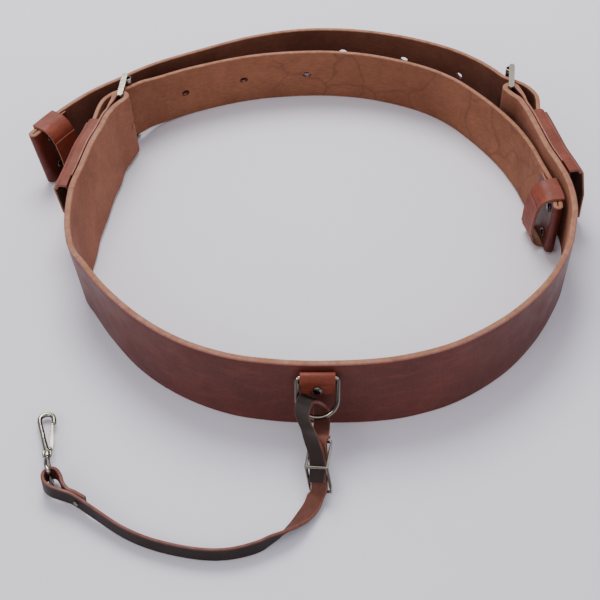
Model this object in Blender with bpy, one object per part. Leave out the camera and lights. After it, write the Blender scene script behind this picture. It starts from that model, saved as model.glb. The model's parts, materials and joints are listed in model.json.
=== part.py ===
"""Western rear cinch (a saddle girth) standing in a loop on its lower edge.

Metres, +Z up. The origin is the middle of the cinch's lower edge, under the dee ring.
Seen from above every strap is laid counter-clockwise, so the inside of the loop is on its left.
Lengths in this file are written in millimetres and multiplied by MM when a mesh is made.
"""

import math

import bpy
from mathutils import Quaternion, Vector

MM = 0.001
SHARP_DEG = 32.0

# Straps
CINCH_WIDTH = 76.2
CINCH_THICK = 6.3
CINCH_TAB_THICK = 2.6
BILLET_WIDTH = 63.5
BILLET_THICK = 4.8
CONNECTOR_WIDTH = 15.9
CONNECTOR_THICK = 3.3
LEATHER_GAP = 0.3
LOOP_BACK_WALL = 1.2
HOLE_SPACING = 75.0
END_RISE = 3.5
STATION_SPACING = 8.0

# Roller buckles
BAR_RADIUS = 3.0
FOLD_RADIUS = BAR_RADIUS + 0.4 + CINCH_THICK / 2
FRAME_BAR_WIDTH = 6.4
FRAME_BAR_THICK = 3.0
FRAME_INSIDE = CINCH_WIDTH + 0.8
ROLLER_BAR_RADIUS = 2.0
ROLLER_RADIUS = 4.5
ROLLER_BORE = 3.5
ROLLER_HANG = 1.2
TONGUE_RADIUS = 2.2
TONGUE_HOLE_RADIUS = 3.1
TONGUE_SWING_DEG = 6.5

# Chicago screws
HEAD_RADIUS = 4.8
HEAD_THICK = 1.5
BARREL_RADIUS = 2.4
BARREL_BORE = 1.7
SHANK_RADIUS = 1.5
SCREW_HOLE_RADIUS = 2.75

# Dee ring, chape, conway buckle and snap
DEE_WIRE = 2.2
DEE_HALF = 19.1
DEE_LEG = 21.0
DEE_TILT_DEG = 25.0
CHAPE_WIDTH = 33.0
CHAPE_THICK = 3.2
CHAPE_BOTTOM = 46.0
DEE_BAR_HEIGHT = 66.0
CONWAY_HALF_LENGTH = 22.5
CONWAY_HALF_WIDTH = 10.6
CONWAY_WIRE = 1.5
SNAP_WIRE = 2.4


# ---------------------------------------------------------------- meshes

def material(name, color, roughness, metallic):
    made = bpy.data.materials.new(name)
    made.use_nodes = True
    shader = made.node_tree.nodes["Principled BSDF"]
    shader.inputs["Base Color"].default_value = (*color, 1.0)
    shader.inputs["Roughness"].default_value = roughness
    shader.inputs["Metallic"].default_value = metallic
    return made


def mesh_object(name, verts, faces, finish, origin=(0, 0, 0)):
    """A solid from millimetre points, with its origin at a millimetre point."""
    start = Vector(origin)
    mesh = bpy.data.meshes.new(name)
    mesh.from_pydata([(Vector(v) - start) * MM for v in verts], [], faces)
    made = bpy.data.objects.new(name, mesh)
    made.location = start * MM
    bpy.context.scene.collection.objects.link(made)
    made.data.materials.append(finish)
    mesh.shade_smooth()
    mesh.set_sharp_from_angle(angle=math.radians(SHARP_DEG))
    return made


def helper(made):
    """Marks an object that only cuts or joins another one."""
    made.hide_render = True
    made.display_type = "WIRE"
    return made


def boolean(target, other, operation):
    step = target.modifiers.new(other.name, "BOOLEAN")
    step.operation = operation
    step.object = helper(other)


def loft(rings):
    """Points and outward faces of a tube through closed rings, with both ends capped.

    Each ring is counter-clockwise seen from the end that the rings run towards.
    """
    count = len(rings[0])
    verts = [point for ring in rings for point in ring]
    faces = [tuple(reversed(range(count)))]
    for step in range(len(rings) - 1):
        low, high = step * count, (step + 1) * count
        for i in range(count):
            j = (i + 1) % count
            faces.append((low + i, low + j, high + j, high + i))
    last = (len(rings) - 1) * count
    faces.append(tuple(range(last, last + count)))
    return verts, faces


def loft_pipe(outer_rings, inner_rings):
    """As loft, for a tube with an open hollow along it."""
    count = len(outer_rings[0])
    steps = len(outer_rings)
    verts = [point for ring in outer_rings for point in ring]
    verts += [point for ring in inner_rings for point in ring]
    inside = steps * count
    faces = []
    for i in range(count):
        j = (i + 1) % count
        for step in range(steps - 1):
            low, high = step * count, (step + 1) * count
            faces.append((low + i, low + j, high + j, high + i))
            low, high = low + inside, high + inside
            faces.append((low + j, low + i, high + i, high + j))
        end = (steps - 1) * count
        faces.append((j, i, inside + i, inside + j))
        faces.append((end + i, end + j, inside + end + j, inside + end + i))
    return verts, faces


def circle(middle, across, up, radius, sides):
    ring = []
    for i in range(sides):
        turn = 2 * math.pi * i / sides
        ring.append(middle + across * radius * math.cos(turn) + up * radius * math.sin(turn))
    return ring


def frame_of(axis):
    """Two unit directions square to an axis, right-handed with it."""
    axis = Vector(axis).normalized()
    side = Vector((0, 0, 1)) if abs(axis.z) < 0.9 else Vector((1, 0, 0))
    across = side.cross(axis).normalized()
    return across, axis.cross(across)


def turned(name, start, axis, profile, finish, sides=24, origin=None):
    """A solid of revolution from (distance along the axis, radius) steps."""
    start, axis = Vector(start), Vector(axis).normalized()
    across, up = frame_of(axis)
    rings = [circle(start + axis * at, across, up, radius, sides) for at, radius in profile]
    verts, faces = loft(rings)
    return mesh_object(name, verts, faces, finish, start if origin is None else origin)


def rod(name, points, radius, finish, sides=12, closed=False, origin=None):
    """A round bar bent along points, or a ring when it is closed."""
    points = [Vector(p) for p in points]
    count = len(points)
    across = None
    rings = []
    for i, point in enumerate(points):
        if closed:
            way = points[(i + 1) % count] - points[i - 1]
        else:
            way = points[min(i + 1, count - 1)] - points[max(i - 1, 0)]
        way.normalize()
        if across is None:
            across, up = frame_of(way)
        across = (across - way * across.dot(way)).normalized()
        rings.append(circle(point, across, way.cross(across), radius, sides))
    if not closed:
        verts, faces = loft(rings)
    else:
        verts = [point for ring in rings for point in ring]
        faces = []
        for step in range(count):
            low, high = step * sides, (step + 1) % count * sides
            for i in range(sides):
                j = (i + 1) % sides
                faces.append((low + i, low + j, high + j, high + i))
    return mesh_object(name, verts, faces, finish, points[0] if origin is None else origin)


# ---------------------------------------------------------------- paths

def spline(rows, spacing, space=2):
    """A centripetal Catmull-Rom curve through rows of numbers, sampled about evenly.

    The first numbers of a row, as many as space says, are its place.
    """
    rows = [list(map(float, row)) for row in rows]

    def mix(a, b, share):
        return [x + (y - x) * share for x, y in zip(a, b)]

    def gap(a, b):
        return max(math.dist(a[:space], b[:space]), 1e-6) ** 0.5

    first = [2 * a - b for a, b in zip(rows[0], rows[1])]
    last = [2 * a - b for a, b in zip(rows[-1], rows[-2])]
    padded = [first] + rows + [last]
    out = []
    for i in range(1, len(padded) - 2):
        p0, p1, p2, p3 = padded[i - 1:i + 3]
        t1 = gap(p0, p1)
        t2 = t1 + gap(p1, p2)
        t3 = t2 + gap(p2, p3)
        steps = max(1, round(math.dist(p1[:space], p2[:space]) / spacing))
        for k in range(steps):
            t = t1 + (t2 - t1) * k / steps
            a1 = mix(p0, p1, t / t1)
            a2 = mix(p1, p2, (t - t1) / (t2 - t1))
            a3 = mix(p2, p3, (t - t2) / (t3 - t2))
            b1 = mix(a1, a2, t / t2)
            b2 = mix(a2, a3, (t - t1) / (t3 - t1))
            out.append(mix(b1, b2, (t - t1) / (t2 - t1)))
    out.append(padded[-2])
    return out


def arc(middle, radius, start_deg, end_deg, count, *rest):
    rows = []
    for i in range(count):
        turn = math.radians(start_deg + (end_deg - start_deg) * i / (count - 1))
        place = (middle[0] + radius * math.cos(turn), middle[1] + radius * math.sin(turn))
        rows.append((*place, *rest))
    return rows


class Station:
    """One place along a strap that stands on its edge."""

    def __init__(self, row, before, after, width):
        self.place = Vector(row[:2])
        self.lean = Vector(row[2:4])
        self.rise, self.thick = row[4:6]
        way = (Vector(after[:2]) - Vector(before[:2])).normalized()
        self.way = way
        self.inward = Vector((-way.y, way.x))
        self.width = width

    def point(self, inward, height):
        """A point at an offset towards the inside and a height above the strap's lower edge."""
        share = height / self.width - 0.5
        flat = self.place + self.inward * inward + self.lean * share
        return Vector((flat.x, flat.y, self.rise + height))


def stations(rows, width):
    """Stations at rows that already lie close together."""
    last = len(rows) - 1
    return [
        Station(row, rows[max(i - 1, 0)], rows[min(i + 1, last)], width)
        for i, row in enumerate(rows)
    ]


def beside(rows, distance, thicks):
    """Rows moved towards the inside, with a thickness that runs between two values."""
    moved = []
    last = len(rows) - 1
    for i, row in enumerate(rows):
        way = Vector(rows[min(i + 1, last)][:2]) - Vector(rows[max(i - 1, 0)][:2])
        way.normalize()
        place = Vector(row[:2]) + Vector((-way.y, way.x)) * distance
        thick = thicks[0] + (thicks[1] - thicks[0]) * i / last
        moved.append([place.x, place.y, *row[2:5], thick])
    return moved


def standing_strap(name, line, finish):
    """A strap of rectangular section on its edge, with the edges' corners eased."""
    rings = []
    for at in line:
        half, ease = at.thick / 2, min(0.7, at.thick / 4)
        section = [
            (-half, ease), (-half + ease, 0), (half - ease, 0), (half, ease),
            (half, at.width - ease), (half - ease, at.width),
            (-half + ease, at.width), (-half, at.width - ease),
        ]
        rings.append([at.point(*corner) for corner in section])
    verts, faces = loft(rings)
    return mesh_object(name, verts, faces, finish)


def on_side(line, sign, low_y, high_y):
    """The stations on one side of the loop between two distances behind the front."""
    return [at for at in line if at.place.x * sign > 0 and low_y <= at.place.y <= high_y]


def nearest(line, place):
    return min(range(len(line)), key=lambda i: (line[i].place - Vector(place)).length)


def further(line, start, distance):
    """A station's number, a distance along the line from another one."""
    step = 1 if distance > 0 else -1
    travelled = 0.0
    while travelled < abs(distance):
        travelled += (line[start + step].place - line[start].place).length
        start += step
    return start


def keeper_section(back, front, low, high, corner, bulge, sag):
    """A section flat at the back, with two round corners and a bulging front.

    sag is how much further the front stands off at the lower end than at the upper one.
    """
    side = 1 if front > back else -1
    section = [(back, low)]
    for step in range(5):
        turn = math.radians(90 * step / 4)
        section.append((front - side * corner * (1 - math.sin(turn)), low + corner * (1 - math.cos(turn))))
    for share in (-0.5, 0, 0.5):
        height = (low + high) / 2 + share * (high - low - 2 * corner)
        section.append((front + side * bulge * (1 - share * share * 2), height))
    for step in range(5):
        turn = math.radians(90 * step / 4)
        section.append((front - side * corner * (1 - math.cos(turn)), high - corner * (1 - math.sin(turn))))
    section = [
        (inward + side * sag * (high - height) / (high - low), height) for inward, height in section[1:]
    ]
    section = [(back, low)] + section + [(back, high)]
    if side < 0:
        section.reverse()
    return section


def strap_loop(name, line, back, front, heights, wall, corner, bulge, finish, sag=0.0):
    """A closed leather band lying along a standing strap, open at both ends.

    back and front are offsets towards the inside, so a band on the outside has front below
    back. heights are its lower and upper faces above the strap's lower edge. The back wall
    is thin, and the front wall bulges.
    """
    side = 1 if front > back else -1
    low, high = heights
    outer = keeper_section(back, front, low, high, corner, bulge, sag)
    inner = keeper_section(
        back + side * LOOP_BACK_WALL, front - side * wall, low + wall, high - wall, corner - wall, bulge,
        sag,
    )
    outer_rings = [[at.point(*place) for place in outer] for at in line]
    inner_rings = [[at.point(*place) for place in inner] for at in line]
    verts, faces = loft_pipe(outer_rings, inner_rings)
    return mesh_object(name, verts, faces, finish)


# ---------------------------------------------------------------- fasteners

def chicago_screw(name, face, outward, grip, finishes, hosts):
    """A post and its screw through leather.

    face is the middle of the post's side of the leather, outward points away from it
    there, and grip is the thickness between the two heads.
    """
    axis = Vector(outward).normalized()
    face = Vector(face)
    post = turned(
        name + "_post", face + axis * HEAD_THICK, -axis,
        [(0, HEAD_RADIUS - 1), (0.5, HEAD_RADIUS), (HEAD_THICK, HEAD_RADIUS),
         (HEAD_THICK, BARREL_RADIUS), (HEAD_THICK + grip - 0.4, BARREL_RADIUS)],
        finishes["nickel"],
    )
    bore = turned(
        name + "_post_bore", face - axis * 1.0, -axis,
        [(0, BARREL_BORE), (grip + 5, BARREL_BORE)], finishes["nickel"], sides=16,
    )
    boolean(post, bore, "DIFFERENCE")
    turned(
        name + "_screw", face - axis * (grip + HEAD_THICK + 0.5), axis,
        [(0, HEAD_RADIUS - 2.4), (0.5, HEAD_RADIUS - 1), (1.2, HEAD_RADIUS),
         (HEAD_THICK + 0.5, HEAD_RADIUS), (HEAD_THICK + 0.5, SHANK_RADIUS),
         (HEAD_THICK + grip - 1.2, SHANK_RADIUS)],
        finishes["nickel"],
    )
    for host in hosts:
        hole = turned(
            name + "_hole_" + host.name, face + axis * 4, -axis,
            [(0, SCREW_HOLE_RADIUS), (grip + 8, SCREW_HOLE_RADIUS)], finishes["nickel"], sides=16,
        )
        boolean(host, hole, "DIFFERENCE")


# ---------------------------------------------------------------- roller buckle

class BuckleLayout:
    """Where a roller buckle's bars are: heel bar, roller bar and the roller that hangs on it."""

    def __init__(self, side, heel, far_end, lean):
        self.side = side
        self.lean = Vector(lean)
        self.up = Vector((self.lean.x, self.lean.y, CINCH_WIDTH)).normalized()
        self.heel = Vector(heel)
        self.far_end = Vector(far_end)
        self.way = (self.far_end - self.heel).normalized()
        inward = Vector((self.way.y, -self.way.x))
        self.inward = inward if side == "left" else -inward
        self.roller_bar = self.far_end + self.inward * 1.0
        self.roller = self.roller_bar + self.inward * ROLLER_HANG
        self.low = END_RISE - LEATHER_GAP - FRAME_BAR_THICK
        self.high = self.low + FRAME_INSIDE + 2 * FRAME_BAR_THICK
        self.middle = (self.low + self.high) / 2

    def at(self, flat, height):
        """A point over a place given at mid-height."""
        moved = flat + self.lean * (height - self.middle) / CINCH_WIDTH
        return Vector((moved.x, moved.y, height))


LEFT_BUCKLE = BuckleLayout("left", (-213.8, 398.5), (-211.4, 431.5), (-5.8, 4.0))
RIGHT_BUCKLE = BuckleLayout("right", (221.6, 415.5), (226.0, 451.0), (0, 0))


def buckle_frame(layout, finishes):
    """Two flat side bars joined by the round heel bar and the thinner roller bar."""
    name = "buckle_frame_" + layout.side
    way, across = layout.way, Vector((-layout.way.y, layout.way.x))
    half = FRAME_BAR_WIDTH / 2
    origin = layout.at(layout.heel, layout.middle)
    start, end = layout.heel - way * 1.0, layout.far_end + way * 1.0
    corners = []
    for step in range(7):
        turn = math.pi / 2 + math.pi * step / 6
        corners.append(start + way * half * math.cos(turn) + across * half * math.sin(turn))
    for step in range(7):
        turn = -math.pi / 2 + math.pi * step / 6
        corners.append(end + way * half * math.cos(turn) + across * half * math.sin(turn))
    sides = []
    for label, low in (("lower", layout.low), ("upper", layout.high - FRAME_BAR_THICK)):
        inset = [(corner - (start + end) / 2) * 0.985 + (start + end) / 2 for corner in corners]
        rings = [
            [layout.at(corner, low) for corner in inset],
            [layout.at(corner, low + 0.5) for corner in corners],
            [layout.at(corner, low + FRAME_BAR_THICK - 0.5) for corner in corners],
            [layout.at(corner, low + FRAME_BAR_THICK) for corner in inset],
        ]
        verts, faces = loft(rings)
        own = name if label == "lower" else name + "_" + label
        sides.append(mesh_object(own, verts, faces, finishes["nickel"], origin))
    frame = sides[0]
    boolean(frame, sides[1], "UNION")
    reach = layout.high - layout.low - 2.0
    for label, flat, radius in (
        ("heel_bar", layout.heel, BAR_RADIUS), ("roller_bar", layout.roller_bar, ROLLER_BAR_RADIUS),
    ):
        bar = turned(
            name + "_" + label, layout.at(flat, layout.low + 1.0), layout.up,
            [(0, radius), (reach, radius)], finishes["nickel"],
        )
        boolean(frame, bar, "UNION")


def buckle_roller(layout, finishes):
    low = layout.low + FRAME_BAR_THICK + 0.6
    length = FRAME_INSIDE - 1.2
    middle = layout.at(layout.roller, low)
    up = layout.up
    across, square = frame_of(up)
    outer, inner = [], []
    for at, ease in ((0, 0.4), (0.5, 0), (length - 0.5, 0), (length, 0.4)):
        here = middle + up * at
        outer.append(circle(here, across, square, ROLLER_RADIUS - ease, 24))
        inner.append(circle(here, across, square, ROLLER_BORE, 24))
    verts, faces = loft_pipe(outer, inner)
    mesh_object("buckle_roller_" + layout.side, verts, faces, finishes["nickel"], middle)


def buckle_tongue(layout, finishes):
    """An eye round the heel bar and a bar that rests on the roller's outer side."""
    name = "buckle_tongue_" + layout.side
    outward = -layout.inward
    tip = layout.roller + outward * (ROLLER_RADIUS + TONGUE_RADIUS + 0.8) + layout.way * 5.0
    way = (tip - layout.heel).normalized()
    pivot = layout.at(layout.heel, layout.middle)
    length = (tip - layout.heel).length
    eye_radius = BAR_RADIUS + 0.35
    up = layout.up
    direction = Vector((way.x, way.y, 0))
    direction = (direction - up * direction.dot(up)).normalized()
    across, square = frame_of(up)
    outer, inner = [], []
    for at, ease in ((-3.2, 0.6), (-2.4, 0), (2.4, 0), (3.2, 0.6)):
        here = pivot + up * at
        outer.append(circle(here, across, square, eye_radius + 2.2 - ease, 24))
        inner.append(circle(here, across, square, eye_radius, 24))
    verts, faces = loft_pipe(outer, inner)
    tongue = mesh_object(name, verts, faces, finishes["nickel"], pivot)
    bar = turned(
        name + "_bar", pivot, direction,
        [(eye_radius + 0.7, TONGUE_RADIUS), (length - 4, TONGUE_RADIUS - 0.1),
         (length - 1, TONGUE_RADIUS - 0.6), (length, TONGUE_RADIUS - 1.4)],
        finishes["nickel"], sides=16,
    )
    boolean(tongue, bar, "UNION")
    return pivot, direction, length


def tongue_passage(host, layout, pivot, direction, length, finishes):
    """The oval hole in the billet, long enough for the tongue to swing outwards in it."""
    swing = math.radians(TONGUE_SWING_DEG) * (1 if layout.side == "left" else -1)
    up = layout.up
    rings = []
    for reach in (9.0, length):
        ring = []
        for step in range(20):
            turn = 2 * math.pi * step / 20
            outward = math.cos(turn) * (1 if layout.side == "left" else -1) > 0
            way = direction.copy()
            if outward:
                way.rotate(Quaternion(up, swing))
            across = up.cross(way)
            ring.append(pivot + way * reach + across * TONGUE_HOLE_RADIUS * math.cos(turn)
                        + up * TONGUE_HOLE_RADIUS * math.sin(turn))
        rings.append(ring)
    verts, faces = loft(rings)
    hole = mesh_object("tongue_hole_" + layout.side, verts, faces, finishes["nickel"])
    boolean(host, hole, "DIFFERENCE")


def tongue_slot(host, layout, finishes):
    """The slot in the cinch's fold that the tongue's eye comes out of."""
    way = layout.way
    across = Vector((-way.y, way.x))
    reach, half, tall = 18.0, 10.4, 4.2
    near = layout.heel - way * 6.6
    base = [near - across * half, near + way * reach - across * half,
            near + way * reach + across * half, near + across * half]
    rings = [[layout.at(corner, layout.middle + z) for corner in base] for z in (-tall, tall)]
    verts, faces = loft(rings)
    slot = mesh_object("tongue_slot_" + layout.side, verts, faces, finishes["nickel"])
    boolean(host, slot, "DIFFERENCE")


# ---------------------------------------------------------------- cinch

# Rows hold place in plan at mid-height, shift in plan from the lower edge to the upper one,
# rise off the floor and thickness.
CINCH_BODY = [
    (-216.2, 379.5, -10.3, 6.2, END_RISE, CINCH_THICK),
    (-222.3, 365, -11.5, 6.0, END_RISE, CINCH_THICK),
    (-226.6, 341, -14.6, 5.9, END_RISE, CINCH_THICK),
    (-231.9, 320.5, -16.1, 4.9, END_RISE, CINCH_THICK),
    (-238.2, 280.4, -18.1, 2.3, END_RISE, CINCH_THICK),
    (-243.3, 249, -19.5, -0.1, END_RISE, CINCH_THICK),
    (-244.4, 219, -18.4, -2.3, 2.4, CINCH_THICK),
    (-244.7, 188.8, -12.6, -3.2, 0.8, CINCH_THICK),
    (-239.2, 160.2, -8.4, -3.2, 0, CINCH_THICK),
    (-226, 138, -6.7, -3.3, 0, CINCH_THICK),
    (-205, 106, -4.1, -2.9, 0, CINCH_THICK),
    (-169, 64, 0, 0, 0, CINCH_THICK),
    (-128, 33, 1.3, 2.2, 0, CINCH_THICK),
    (-82, 13, 1.7, 5.0, 0, CINCH_THICK),
    (-40, 5.3, 1.0, 6.4, 0, CINCH_THICK),
    (-12, 3.25, 0.3, 6.5, 0, CINCH_THICK),
    (12, 3.25, -0.3, 6.5, 0, CINCH_THICK),
    (50, 5, -1.5, 7.3, 0, CINCH_THICK),
    (84, 10.5, -2.6, 7.5, 0, CINCH_THICK),
    (130, 27, -3.4, 5.9, 0, CINCH_THICK),
    (178, 59.5, -2.7, 2.9, 0, CINCH_THICK),
    (211, 94, 0, 0, 0, CINCH_THICK),
    (233, 126, 2.6, -1.4, 0, CINCH_THICK),
    (253.1, 168.2, 2.9, -0.9, 0.5, CINCH_THICK),
    (259.8, 193.6, 2.0, -0.4, 1.2, CINCH_THICK),
    (264.6, 213, 1.0, -0.1, 2, CINCH_THICK),
    (266.4, 240, -1.0, 0, 2.8, CINCH_THICK),
    (263.2, 263.4, 0, 0, END_RISE, CINCH_THICK),
    (257, 287.7, 0, 0, END_RISE, CINCH_THICK),
    (249.4, 312.5, 0, 0, END_RISE, CINCH_THICK),
    (244.3, 335.7, 0, 0, END_RISE, CINCH_THICK),
    (238.2, 364, 0, 0, END_RISE, CINCH_THICK),
    (235.2, 376, 0, 0, END_RISE, CINCH_THICK),
    (231.4, 388.3, 0, 0, END_RISE, CINCH_THICK),
]
CINCH_TAB_OFFSET = (CINCH_THICK + CINCH_TAB_THICK) / 2 + 0.5
CINCH_TAB_TIP = 1.3


def cinch(finishes):
    """The wide strap: each end passes round a heel bar and lies back on the outer side."""
    body = spline(CINCH_BODY, STATION_SPACING)
    middle = len(body) // 2
    left_run = [row for row in body[:middle] if 262 < row[1] < 373]
    left_tab = beside(list(reversed(left_run)), CINCH_TAB_OFFSET, (CINCH_TAB_TIP, CINCH_TAB_THICK))
    left_fold = [(-223.4, 382.5, -8.5, 5.0, END_RISE, 3.4), (-221.3, 392, -7.0, 4.5, END_RISE, 4.8)]
    left_fold += arc(LEFT_BUCKLE.heel, FOLD_RADIUS, 162, -32, 10, *LEFT_BUCKLE.lean, END_RISE, CINCH_THICK)
    right_run = [row for row in body[middle:] if 282 < row[1] <= 389]
    right_tab = beside(list(reversed(right_run)), CINCH_TAB_OFFSET, (CINCH_TAB_THICK, CINCH_TAB_TIP))
    right_fold = [(228.6, 395.5, 0, 0, END_RISE, CINCH_THICK), (222.7, 402.3, 0, 0, END_RISE, CINCH_THICK)]
    right_fold += arc(RIGHT_BUCKLE.heel, FOLD_RADIUS, 220, 20, 10, 0, 0, END_RISE, CINCH_THICK)
    right_fold += [(231.6, 408.5, 0, 0, END_RISE, 4.8), (234.4, 399.5, 0, 0, END_RISE, 3.6)]
    rows = left_tab + left_fold + body + right_fold + right_tab
    strap = standing_strap("cinch_strap", stations(rows, CINCH_WIDTH), finishes["cinch"])
    for layout in (LEFT_BUCKLE, RIGHT_BUCKLE):
        tongue_slot(strap, layout, finishes)
    return strap, stations(body, CINCH_WIDTH)


def cinch_keepers(line, finishes):
    """The wide loops on the outside of the cinch that hold the billets' tips."""
    back = -(CINCH_TAB_OFFSET + CINCH_TAB_THICK / 2 + 0.4)
    heights = (-3.2, 74.2)
    left = on_side(line, -1, 247, 361)
    right = on_side(line, 1, 264, 378)
    strap_loop("cinch_keeper_left", left, back, -20.2, heights, 2.4, 6.0, 5.5, finishes["keeper"])
    strap_loop("cinch_keeper_right", right, back, -20.5, heights, 2.4, 7.0, 6.0, finishes["keeper"], sag=6.5)


# ---------------------------------------------------------------- billets

BILLET_TAB_OFFSET = BILLET_THICK + 0.8
BILLET_TAB_LENGTH = 48.0
BILLET_TAB_TIP = 1.4
BILLET_LEFT_BODY = [
    (253.8, 232, 2.0, -0.1, 3, BILLET_THICK),
    (252.8, 246, 4.0, -0.1, 3, BILLET_THICK),
    (247, 272, 6.0, 0.5, 3, BILLET_THICK),
    (239.4, 300, 7.8, 1.6, 2.5, BILLET_THICK),
    (230.5, 336.5, 7.5, 2.8, 1.5, BILLET_THICK),
    (214.5, 376, 6.0, 3.5, 0.5, BILLET_THICK),
    (187, 420, 3.7, 3.4, 0, BILLET_THICK),
    (158, 454, 1.8, 2.4, 0, BILLET_THICK),
    (125, 477, 0.5, 0.9, 0, BILLET_THICK),
    (74, 497, 0, 0, 0, BILLET_THICK),
    (31, 505, 0, 0, 0, BILLET_THICK),
    (-16, 505.5, 0, 0, 0, BILLET_THICK),
    (-76, 497, 0, 0, 0, BILLET_THICK),
    (-143, 473, -0.5, 0.8, 0.5, BILLET_THICK),
    (-180, 450.4, -2.0, 2.2, 3, BILLET_THICK),
    (-195, 436.1, -4.0, 3.8, 7.5, BILLET_THICK),
    (-204.4, 425.2, -5.3, 4.6, 9.5, BILLET_THICK),
    (-214.8, 416.4, -5.5, 4.3, 10.5, BILLET_THICK),
    (-224.7, 408.7, -6.5, 4.6, 10.8, BILLET_THICK),
    (-231.5, 398.9, -8.0, 5.1, 10.8, BILLET_THICK),
    (-234.8, 386.4, -9.5, 5.5, 10.8, BILLET_THICK),
    (-236.6, 371.2, -10.7, 5.5, 10.8, BILLET_THICK),
    (-238, 355, -12.1, 5.3, 10.8, BILLET_THICK),
    (-244.2, 323.5, -14.9, 4.5, 10.8, BILLET_THICK),
    (-249.4, 296, -15.9, 2.9, 10.8, BILLET_THICK),
]
BILLET_RIGHT_BODY = [
    (264, 306, 0, 0, 10.8, BILLET_THICK),
    (256.5, 335, 0, 0, 10.8, BILLET_THICK),
    (251, 361, 0, 0, 10.8, BILLET_THICK),
    (248.8, 384, 0, 0, 10.8, BILLET_THICK),
    (250, 396, 0, 0, 10.8, BILLET_THICK),
    (249.5, 409, 0, 0, 10.8, BILLET_THICK),
    (243.5, 421.5, 0, 0, 10.8, BILLET_THICK),
    (235, 431, 0, 0, 10.8, BILLET_THICK),
    (225.5, 437.5, 0, 0, 10.5, BILLET_THICK),
    (217, 445, 0, 0, 9.5, BILLET_THICK),
    (209, 458, 0, 0, 8, BILLET_THICK),
    (192, 484, 0, 0, 3.5, BILLET_THICK),
    (161, 512, 0, 0, 0.5, BILLET_THICK),
    (103, 538, 0, 0, 0, BILLET_THICK),
    (44, 550.5, 0, 0, 0, BILLET_THICK),
    (-16, 550.5, 0, 0, 0, BILLET_THICK),
    (-75, 536, 0, 0, 0, BILLET_THICK),
    (-133, 510, 0, 0, 0, BILLET_THICK),
    (-190, 479.5, 0, 0, 0.5, BILLET_THICK),
    (-222.9, 452, -1.9, 1.7, 1, BILLET_THICK),
    (-252.4, 425.1, -4.1, 2.9, 2, BILLET_THICK),
    (-283.5, 383.8, -9.9, 4.7, 2.6, BILLET_THICK),
    (-304.9, 349.4, -13.3, 4.3, 2.6, BILLET_THICK),
]


def folded_end(run, offset):
    """Rows past the end of a run: a tight turn and a skived tab lying along the run."""
    end, before = Vector(run[-1][:2]), Vector(run[-2][:2])
    way = (end - before).normalized()
    side = Vector((-way.y, way.x)) * (offset / 2)
    turn_rows = []
    for step in range(1, 8):
        turn = math.pi * step / 8
        place = end + way * abs(offset / 2) * math.sin(turn) + side * (1 - math.cos(turn))
        turn_rows.append([place.x, place.y, *run[-1][2:]])
    length, count = 0.0, 1
    while length < BILLET_TAB_LENGTH:
        length += math.dist(run[-count][:2], run[-count - 1][:2])
        count += 1
    tab = beside(run[-count:], offset, (BILLET_TAB_TIP, BILLET_THICK))
    return turn_rows + list(reversed(tab))


def billet(side, body, finishes):
    """A billet whose far end is folded on to its inner side, and its line of stations."""
    run = spline(body, STATION_SPACING)
    if side == "right":
        rows = run + folded_end(run, BILLET_TAB_OFFSET)
    else:
        rows = list(reversed(run))
        rows = list(reversed(rows + folded_end(rows, -BILLET_TAB_OFFSET)))
    strap = standing_strap("billet_" + side, stations(rows, BILLET_WIDTH), finishes["billet"])
    return strap, stations(run, BILLET_WIDTH)


def billet_end(side, strap, line, finishes):
    """The loop and the two Chicago screws at a billet's folded end."""
    back = -(BILLET_THICK / 2 + 2 * LEATHER_GAP + LOOP_BACK_WALL)
    run = line[-6:-1] if side == "right" else on_side(line, 1, 236, 276)
    keeper = strap_loop(
        "billet_keeper_" + side, run, back, 21.5, (-2.5, BILLET_WIDTH + 2.5), 2.2, 15.0, 2.5,
        finishes["keeper"],
    )
    at = run[-2] if side == "right" else run[1]
    slope = at.lean / BILLET_WIDTH
    outward = Vector((-at.inward.x, -at.inward.y, at.inward.dot(slope)))
    grip = BILLET_TAB_OFFSET + BILLET_THICK + LEATHER_GAP + LOOP_BACK_WALL + 1.2
    for label, share in (("upper", 0.76), ("lower", 0.2)):
        face = at.point(back - 0.6, BILLET_WIDTH * share)
        chicago_screw(f"billet_{side}_{label}", face, outward, grip, finishes, [strap, keeper])


def billet_holes(side, strap, line, crossing, finishes):
    """Three oval holes, evenly spaced from the one that the tongue passes."""
    start = nearest(line, crossing)
    for number in range(1, 4):
        distance = HOLE_SPACING * number * (1 if side == "right" else -1)
        at = line[further(line, start, distance)]
        axis = Vector((at.inward.x, at.inward.y, 0))
        flat = Vector((axis.y, -axis.x, 0))
        middle = at.point(0, BILLET_WIDTH / 2)
        rings = []
        for reach in (8, -8):
            ring = []
            for step in range(20):
                turn = 2 * math.pi * step / 20
                ring.append(middle - axis * reach + flat * 4.8 * math.cos(turn)
                            - Vector((0, 0, 1)) * 3.7 * math.sin(turn))
            rings.append(ring)
        verts, faces = loft(rings)
        hole = mesh_object(f"billet_{side}_hole_{number}", verts, faces, finishes["billet"])
        boolean(strap, hole, "DIFFERENCE")


# ---------------------------------------------------------------- dee ring and chape

CINCH_SLOPE = 6.5 / CINCH_WIDTH
DEE_BAR = Vector((0, -3.52, DEE_BAR_HEIGHT))
DEE_DOWN = Vector((0, -math.sin(math.radians(DEE_TILT_DEG)), -math.cos(math.radians(DEE_TILT_DEG))))


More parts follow.
